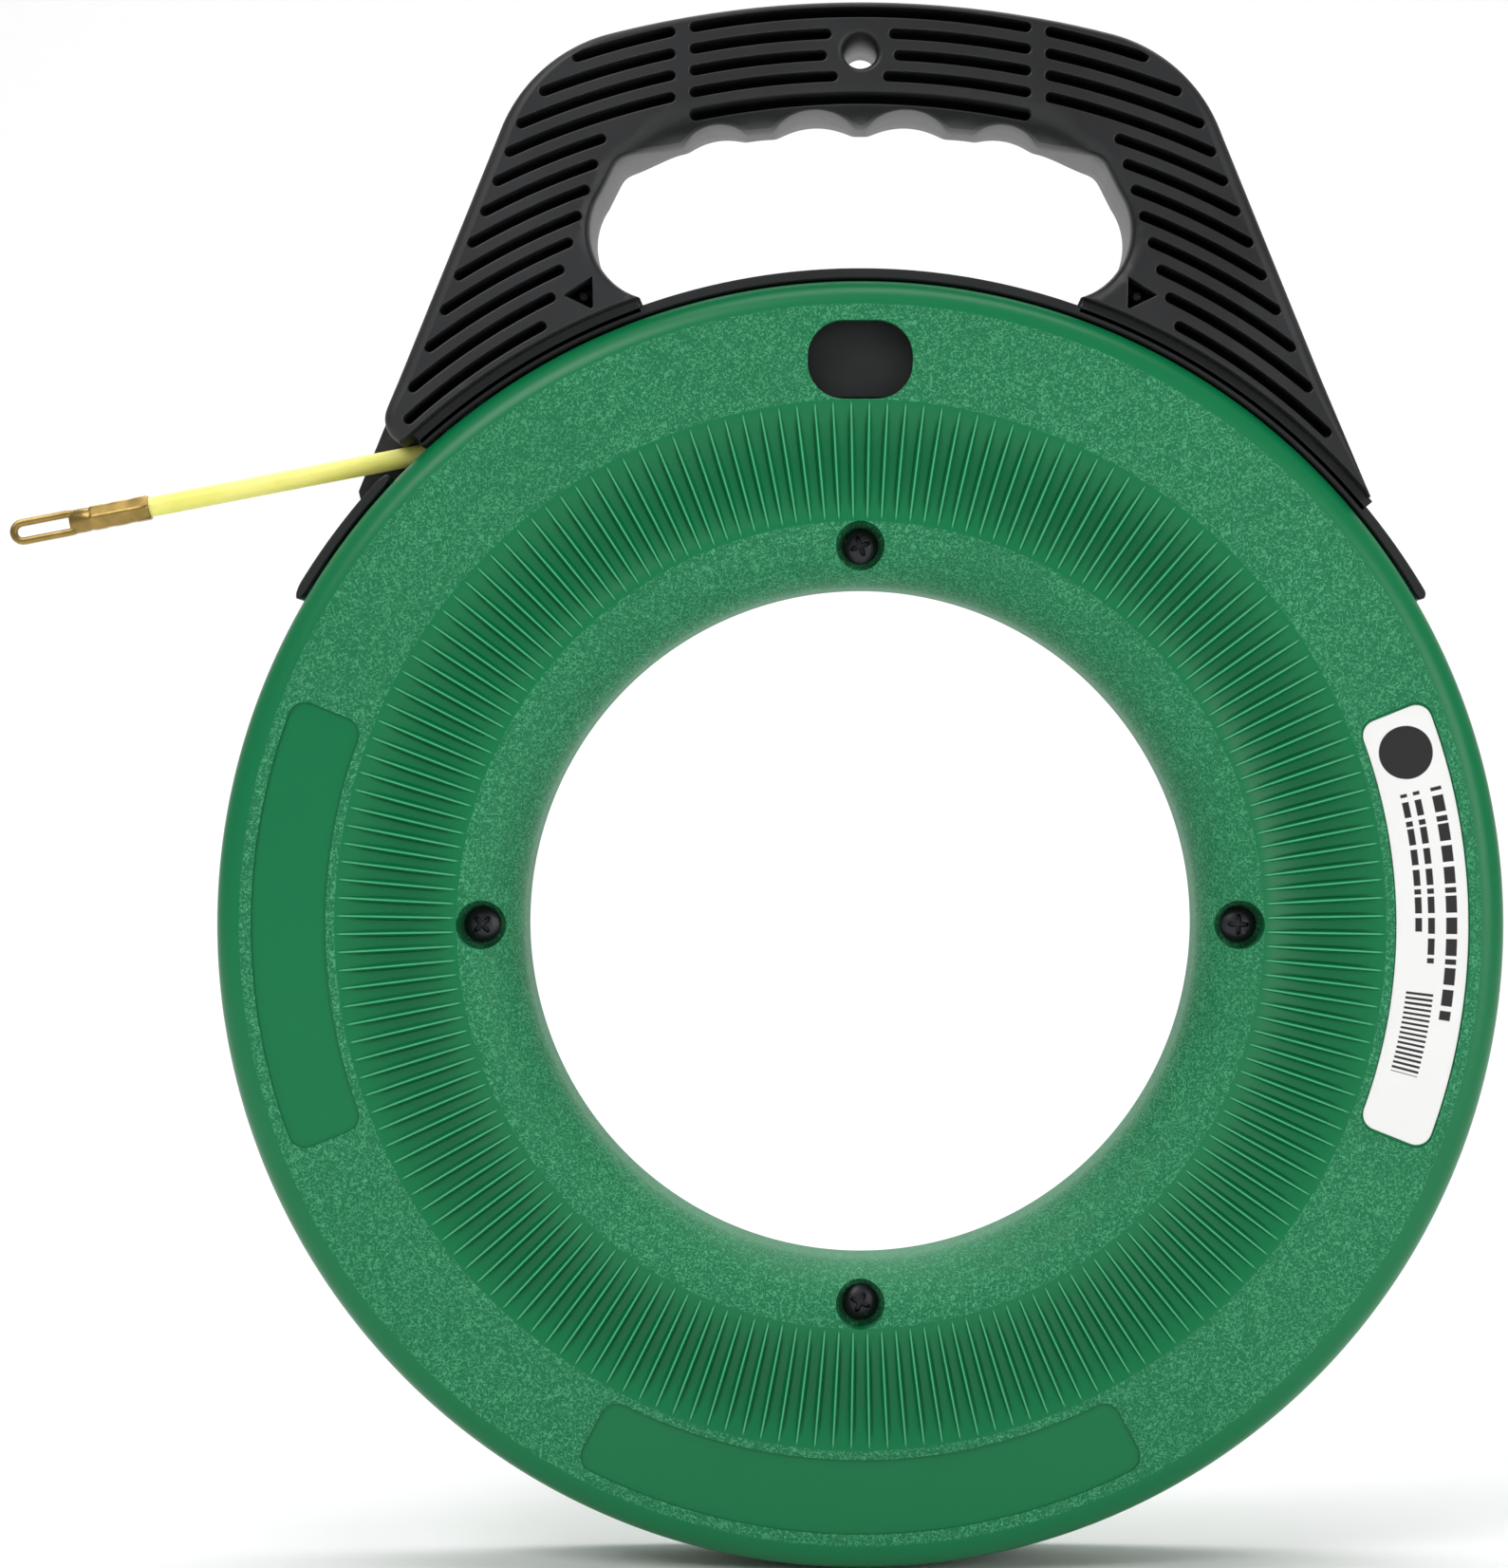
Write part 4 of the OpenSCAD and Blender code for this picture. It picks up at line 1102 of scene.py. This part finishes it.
def handle_moulding(s):
    """The whole handle: two halves of the arch that meet behind the tape, the legs' cores, the strip,
    the neck in the rim's gap and the guide channel inside the case, all parted round the tape."""
    shape = Shape()
    way, back, half_strip = TAPE_WAY, -TAPE_WAY, s.strip_w / 2
    slab(shape, s, True, s.half_t, back - 0.3 * MM, 1.5 * MM)
    slab(shape, s, False, -s.half_t, back, -7.3 * MM)
    shape.points = [rolled_under(s, p) for p in shape.points]
    core = s.strip_in_r + 0.8 * MM, ledge_radius(s) + 0.3 * MM
    strip = s.strip_in_r, s.strip_in_r + s.strip_t
    round_end = s.strip_t / 2 + 0.4 * MM
    under = back - 0.1 * MM
    for radii, z0, z1, a0, a1, taper in (
            (core, -half_strip, half_strip, 39.5, 70.3, 0), (core, -half_strip, back, 109.7, 140.5, 0),
            (core, back, way, 109.7, 129.8, 0), (core, way, half_strip, 109.7, 132.4, 0),
            (strip, -half_strip, back, 30, 150, round_end), (strip, under, way, 30, 129.6, 0),
            (strip, way - 0.1 * MM, half_strip, 30, 132.6, round_end),
            (strip, under, half_strip, 136.4, 150, 4 * MM)):
        sector(shape, *radii, z0, z1, a0, a1, taper=taper)
    neck, guide1, guide_w, skin = 3.4 * MM, 146.7 * MM, 14 * MM, 2.4 * MM
    for a0, a1 in ((34, 125.5), (135.6, 146)):
        sector(shape, guide1 - 1 * MM, s.strip_in_r + 1 * MM, -neck, neck, a0, a1)
    for a0, a1 in ((34, 123.6), (133.2, 146)):
        sector(shape, guide1 - skin, guide1, -way, way, a0, a1)
    for side in (-1, 1):
        sector(shape, guide1 - skin, guide1, *sorted((side * way, side * guide_w)), 34, 146)
        sector(shape, 123.2 * MM, guide1 - 0.5 * MM, *sorted((side * (guide_w - skin), side * guide_w)), 34, 146)
    knob = np.array([[0.02, 14.0], [0.9, 13.8], [1.2, 13.3], [1.3, 3.0]]) * MM
    for sx in (-1, 1):
        points, faces = spun(knob, np.linspace(0, 2 * math.pi, 16, endpoint=False))
        shape.add(*at_place(points, faces, (sx * 64.9 * MM, 147.1 * MM)), flip=True)
    return shape.build("handle_moulding", 38)


# ---- Tape and eye --------------------------------------------------------

def tape_axes(s):
    """The tape's line: where the straight run starts, the way it points and the way up across it."""
    t = s.drop
    out = np.array([-math.cos(t), -math.sin(t)])
    up = np.array([-math.sin(t), math.cos(t)])
    return up * s.leave_r, out, up


def hidden_length(s, case_r):
    """Length of the straight run that is inside the case's rim."""
    return math.sqrt(case_r ** 2 - s.leave_r ** 2)


def tube(path, radius, sides=20):
    """A round tube along a path of 3-D points: a circle in the plane across each point's direction."""
    ahead = unit(np.gradient(path, axis=0))
    side = unit(np.cross(ahead, np.array([0.0, 1.0, 0.0])))
    over = np.cross(side, ahead)
    a = np.linspace(0, 2 * math.pi, sides, endpoint=False)
    ring = np.cos(a)[None, :, None] * side[:, None] + np.sin(a)[None, :, None] * over[:, None]
    points = (path[:, None] + radius * ring).reshape(-1, 3)
    shape = Shape().add(points, grid_faces(len(path), sides, wrap_cols=True), flip=True)
    shape.add(points, np.array([np.arange(sides), (len(path) * sides - 1) - np.arange(sides)]), flip=True)
    return shape


def straight_tape(s, name, from_s, to_s, n):
    """A stretch of the straight tape between two distances along its line, and the line itself."""
    start, out, _ = tape_axes(s)
    flat = start + out * np.linspace(from_s, to_s, n)[:, None]
    path = np.stack([flat[:, 0], np.zeros(n), flat[:, 1]], axis=1)
    return tube(path, s.tape_r).build(name, 50), path


def wound_tape(s):
    """The winding: turns side by side across it and layer on layer, as one spiral. The radius grows
    by a layer each time the tape has crossed, and the crossing goes back and forth as a triangle wave."""
    across = int((s.coil_w - 0.2 * MM) / (2.1 * s.tape_r))
    layers = int((s.coil_out_r - s.coil_in_r - 0.6 * MM) / (2 * s.tape_r))
    turns, per_turn = across * layers, 72
    t = np.linspace(0, turns, turns * per_turn + 1)
    layer = np.clip(np.floor(t / across), 0, layers - 1)
    phase = t / across - layer
    ease = np.clip((phase - 0.93) / 0.07, 0, 1) * (layer < layers - 1)
    layer_r = (s.coil_out_r - s.coil_in_r - 2 * s.tape_r - 0.6 * MM) / (layers - 1)
    r = s.coil_in_r + 0.3 * MM + s.tape_r + layer_r * (layer + ease * ease * (3 - 2 * ease))
    swing = np.where(layer % 2 == 0, phase, 1 - phase)
    y = (swing - 0.5) * (s.coil_w - 2 * s.tape_r - 0.4 * MM)
    a = 2 * math.pi * t
    path = np.stack([r * np.cos(a), y, r * np.sin(a)], axis=1)
    return tube(path, s.tape_r * 0.985, 8).build("wound_tape", 70)


def eye_fitting(s, case_r):
    """The brass eye: a six-sided sleeve and a round collar as rings of points whose outline changes
    from hexagon to circle along the way, and a flat loop as a rounded section carried round a long
    narrow path."""
    start, out, up = tape_axes(s)
    begin = hidden_length(s, case_r) + s.tape_out
    cols = 48
    a = np.linspace(0, 2 * math.pi, cols, endpoint=False)[None, :]
    wedge = (a + math.pi / 6) % (math.pi / 3) - math.pi / 6
    hexagon = np.minimum(math.cos(math.pi / 6) / np.cos(wedge), 0.972)
    half, round_r = s.sleeve_w / 2, s.loop_w / 2
    end, far = s.sleeve_l, s.sleeve_l + s.collar_l
    sleeve = ((0.35, 0.80, 0), (0.0, 0.83, 0), (0.02, 0.93, 1), (0.35, 1.0, 1), (3.2, 1.0, 1), (4.0, 0.965, 1),
              (5.2, 0.965, 1), (6.0, 1.0, 1), (8.4, 1.0, 1), (9.2, 0.965, 1), (10.4, 0.965, 1), (11.2, 1.0, 1))
    shoulder = ((-0.5, 1.0, 1), (0, 0.96, 1), (0.25, 0.90, 0.2), (0.9, 0.93, 0), (2.2, 0.95, 0))
    tip = ((-1.2, 0.93, 0), (-0.3, 0.84, 0), (0, 0.70, 0))
    stations = np.array([(base + offset * MM, scale, six) for base, rows in ((0, sleeve), (end, shoulder), (far, tip))
                         for offset, scale, six in rows])
    along, scale, six = (stations[:, i][:, None] for i in range(3))
    radius = scale * (six * hexagon * half + (1 - six) * round_r)
    across, deep = radius * np.cos(a), radius * np.sin(a)
    flatten = np.clip((along - end - 0.9 * MM) / (s.collar_l - 1.2 * MM), 0, 1)
    deep = deep * (1 - flatten * (1 - s.loop_t / (2 * round_r) * 1.25))

    def placed(along, across, deep):
        along, across, deep = np.broadcast_arrays(along, across, deep)
        flat = start + out * (begin + along)[..., None] + up * across[..., None]
        return stood(flat[..., 0], flat[..., 1], deep)

    shape = Shape()
    rows = len(stations)
    points = placed(along, across, deep)
    shape.add(points, grid_faces(rows, cols, wrap_cols=True))
    shape.add(points, np.array([(rows - 1) * cols + np.arange(cols)]))
    bore_r = s.tape_r + 0.02 * MM
    deep_in, inner_r = np.array([[0.35 * MM, bore_r], [12 * MM, bore_r], [12 * MM, 0.05 * MM]]).T[..., None]
    bore = placed(deep_in, inner_r * np.cos(a), inner_r * np.sin(a))
    shape.add(bore, grid_faces(3, cols, wrap_cols=True), flip=True)
    arm = (s.loop_w - s.loop_slot) / 2
    mid = (s.loop_w + s.loop_slot) / 4
    squash = 0.6
    x0, x1 = far - 1.6 * MM + mid * squash, far + s.loop_l - arm / 2 - mid
    near = arc(0, 0, mid, -90, -270, 13) * [squash, 1] + [x0, 0]
    route = spread(np.concatenate([arc(x1, 0, mid, 90, -90, 17), near]), 0.7 * MM)
    nrm = loop_normals(route)
    t = np.linspace(0, 2 * math.pi, 16, endpoint=False)
    cx, cz = (np.sign(part) * np.abs(part) ** 0.55 * width / 2
              for part, width in ((np.cos(t), arm), (np.sin(t), s.loop_t)))
    ring = route[:, None] + nrm[:, None] * cx[None, :, None]
    points = placed(ring[..., 0], ring[..., 1], np.broadcast_to(cz, ring.shape[:2]))
    shape.add(points, grid_faces(len(route), 16, wrap_rows=True, wrap_cols=True))
    return shape.build("brass_eye", 40)


# ---- Operators -----------------------------------------------------------

class REEL_OT_case(bpy.types.Operator):
    """Build both halves of the case with their posts"""
    bl_idname = "reel.case"
    bl_label = "Case"

    def execute(self, context):
        scene = context.scene
        s = scene.reel_case
        plastic = case_plastic(s, scene.reel_colours)
        for front, node in ((True, "front_case"), (False, "rear_case")):
            finish_piece(case_half(s, front), plastic, "case", [node])
            finish_piece(screw_posts(s, front), plastic, "case")
        return {"FINISHED"}


class REEL_OT_screws(bpy.types.Operator):
    """Build the four case screws"""
    bl_idname = "reel.screws"
    bl_label = "Case screws"

    def execute(self, context):
        scene = context.scene
        metal = dark_steel("screw_steel", scene.reel_colours.screw_black)
        finish_piece(screw_set(scene.reel_case), metal, "case", ["case_screws"])
        return {"FINISHED"}


class REEL_OT_label(bpy.types.Operator):
    """Build the printed label"""
    bl_idname = "reel.label"
    bl_label = "Label"

    def execute(self, context):
        scene = context.scene
        vinyl = label_print(scene.reel_colours)
        finish_piece(label_sheet(scene.reel_case), vinyl, "case", ["label"])
        return {"FINISHED"}


class REEL_OT_handle(bpy.types.Operator):
    """Build the handle moulding"""
    bl_idname = "reel.handle"
    bl_label = "Handle"

    def execute(self, context):
        scene = context.scene
        plastic = handle_plastic(scene.reel_colours)
        finish_piece(handle_moulding(scene.reel_handle), plastic, "handle", ["handle"])
        return {"FINISHED"}


class REEL_OT_tape(bpy.types.Operator):
    """Build the winding and the straight tape, and give its inner end's anchor a steel finish"""
    bl_idname = "reel.tape"
    bl_label = "Tape"

    def execute(self, context):
        scene = context.scene
        s = scene.reel_tape
        nylon = tape_nylon(scene.reel_colours)
        finish_piece(wound_tape(s), nylon, "case", ["tape_coil"])
        hidden = hidden_length(s, scene.reel_case.rim_r)
        join = hidden - 20 * MM
        run_in, _ = straight_tape(s, "tape_run_in", 0, join, 12)
        finish_piece(run_in, nylon, "tape")
        end = hidden + s.tape_out + s.sleeve_l - 2 * MM
        free, path = straight_tape(s, "free_tape", join, end, 24)
        finish_piece(free, nylon, "tape", ["tape_tail"])
        anchor = frame["nodes"]["tape_anchor"]
        anchor.data.materials.clear()
        anchor.data.materials.append(dark_steel("anchor_steel", (0.35, 0.35, 0.36)))
        return {"FINISHED"}


class REEL_OT_eye(bpy.types.Operator):
    """Build the brass pulling eye"""
    bl_idname = "reel.eye"
    bl_label = "Pulling eye"

    def execute(self, context):
        scene = context.scene
        brass = eye_metal(scene.reel_colours)
        piece = eye_fitting(scene.reel_tape, scene.reel_case.rim_r)
        finish_piece(piece, brass, "tape", ["pull_eye"])
        return {"FINISHED"}


class REEL_OT_stage(bpy.types.Operator):
    """Make the floor, the backdrop, the lights and the camera"""
    bl_idname = "reel.stage"
    bl_label = "Studio"

    def execute(self, context):
        scene = context.scene
        ground = cad_low[2] - 0.0005
        path = np.concatenate([[[-3.0, ground], [1.2, ground]],
                               arc(1.2, ground + 0.8, 0.8, -90, 0, 16)[1:], [[2.0, 4.0]]])
        wide = np.array([-4.0, 4.0])
        y, z = path[:, 0][:, None], path[:, 1][:, None]
        points = np.stack(np.broadcast_arrays(wide[None], y, z), axis=-1).reshape(-1, 3)
        floor = Shape().add(points, grid_faces(len(path), 2), flip=True).build("studio_floor", 60)
        floor.data.materials.append(pale_floor(scene.reel_colours))
        world = bpy.data.worlds.new("studio")
        world.use_nodes = True
        for name, value in (("Color", (1, 1, 1, 1)), ("Strength", 0.35)):
            world.node_tree.nodes["Background"].inputs[name].default_value = value
        scene.world = world
        lamps = (("key", (-0.8, -1.2, 1.2), (0.8, 0.8), 12), ("fill", (1.2, -1.3, 0.2), (1.0, 1.0), 10),
                 ("top", (0.1, -0.3, 1.6), (1.2, 0.5), 7), ("backdrop", (0.0, 0.9, 2.4), (3.0, 1.0), 46))
        for name, place, span, power in lamps:
            light = bpy.data.lights.new(name, "AREA")
            light.shape, light.size, light.size_y, light.energy = "RECTANGLE", *span, power
            lamp = bpy.data.objects.new(name, light)
            lamp.location = place
            target = np.array([0, 1.4, 0.0]) if name == "backdrop" else np.array([0, 0, 0.02])
            aim(lamp, target)
            scene.collection.objects.link(lamp)
        eye = bpy.data.cameras.new("view")
        eye.sensor_fit, eye.sensor_width = "HORIZONTAL", 36
        eye.lens, eye.shift_x, eye.shift_y = 100.39, -0.0648, 0.0023
        eye.clip_start, eye.clip_end = 0.02, 20
        camera = bpy.data.objects.new("view", eye)
        camera.location = (-0.0020, -1.0, 0.0320)
        camera.rotation_euler = (math.pi / 2, 0, 0)
        scene.collection.objects.link(camera)
        scene.camera = camera
        scene.view_settings.view_transform = "Standard"
        return {"FINISHED"}


def aim(lamp, target):
    """Turns a light so that its -Z axis points at the target."""
    way = Vector(target) - lamp.location
    lamp.rotation_euler = way.to_track_quat("-Z", "Y").to_euler()


STEPS = (REEL_OT_stage, REEL_OT_case, REEL_OT_screws, REEL_OT_label, REEL_OT_handle, REEL_OT_eye, REEL_OT_tape)


class REEL_PT_panel(bpy.types.Panel):
    """Lists the reel's pieces and their sizes"""
    bl_idname = "REEL_PT_panel"
    bl_label = "Fish Tape Reel"
    bl_space_type = "VIEW_3D"
    bl_region_type = "UI"
    bl_category = "Reel"

    def draw(self, context):
        layout = self.layout
        for step in STEPS:
            layout.operator(step.bl_idname)
        for name in GROUPS:
            box = layout.box()
            box.label(text=GROUPS[name].__name__)
            for prop in GROUPS[name].__annotations__:
                box.prop(getattr(context.scene, name), prop)


GROUPS = {"reel_case": CaseSizes, "reel_handle": HandleSizes, "reel_tape": TapeSizes, "reel_colours": ReelColours}
CLASSES = (*GROUPS.values(), *STEPS, REEL_PT_panel)


def register():
    for cls in CLASSES:
        bpy.utils.register_class(cls)
    for name, cls in GROUPS.items():
        setattr(bpy.types.Scene, name, bpy.props.PointerProperty(type=cls))


def unregister():
    for name in GROUPS:
        delattr(bpy.types.Scene, name)
    for cls in reversed(CLASSES):
        bpy.utils.unregister_class(cls)


def main():
    """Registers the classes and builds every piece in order."""
    register()
    for step in STEPS:
        group, name = step.bl_idname.split(".")
        getattr(getattr(bpy.ops, group), name)()


if __name__ == "__main__":
    main()
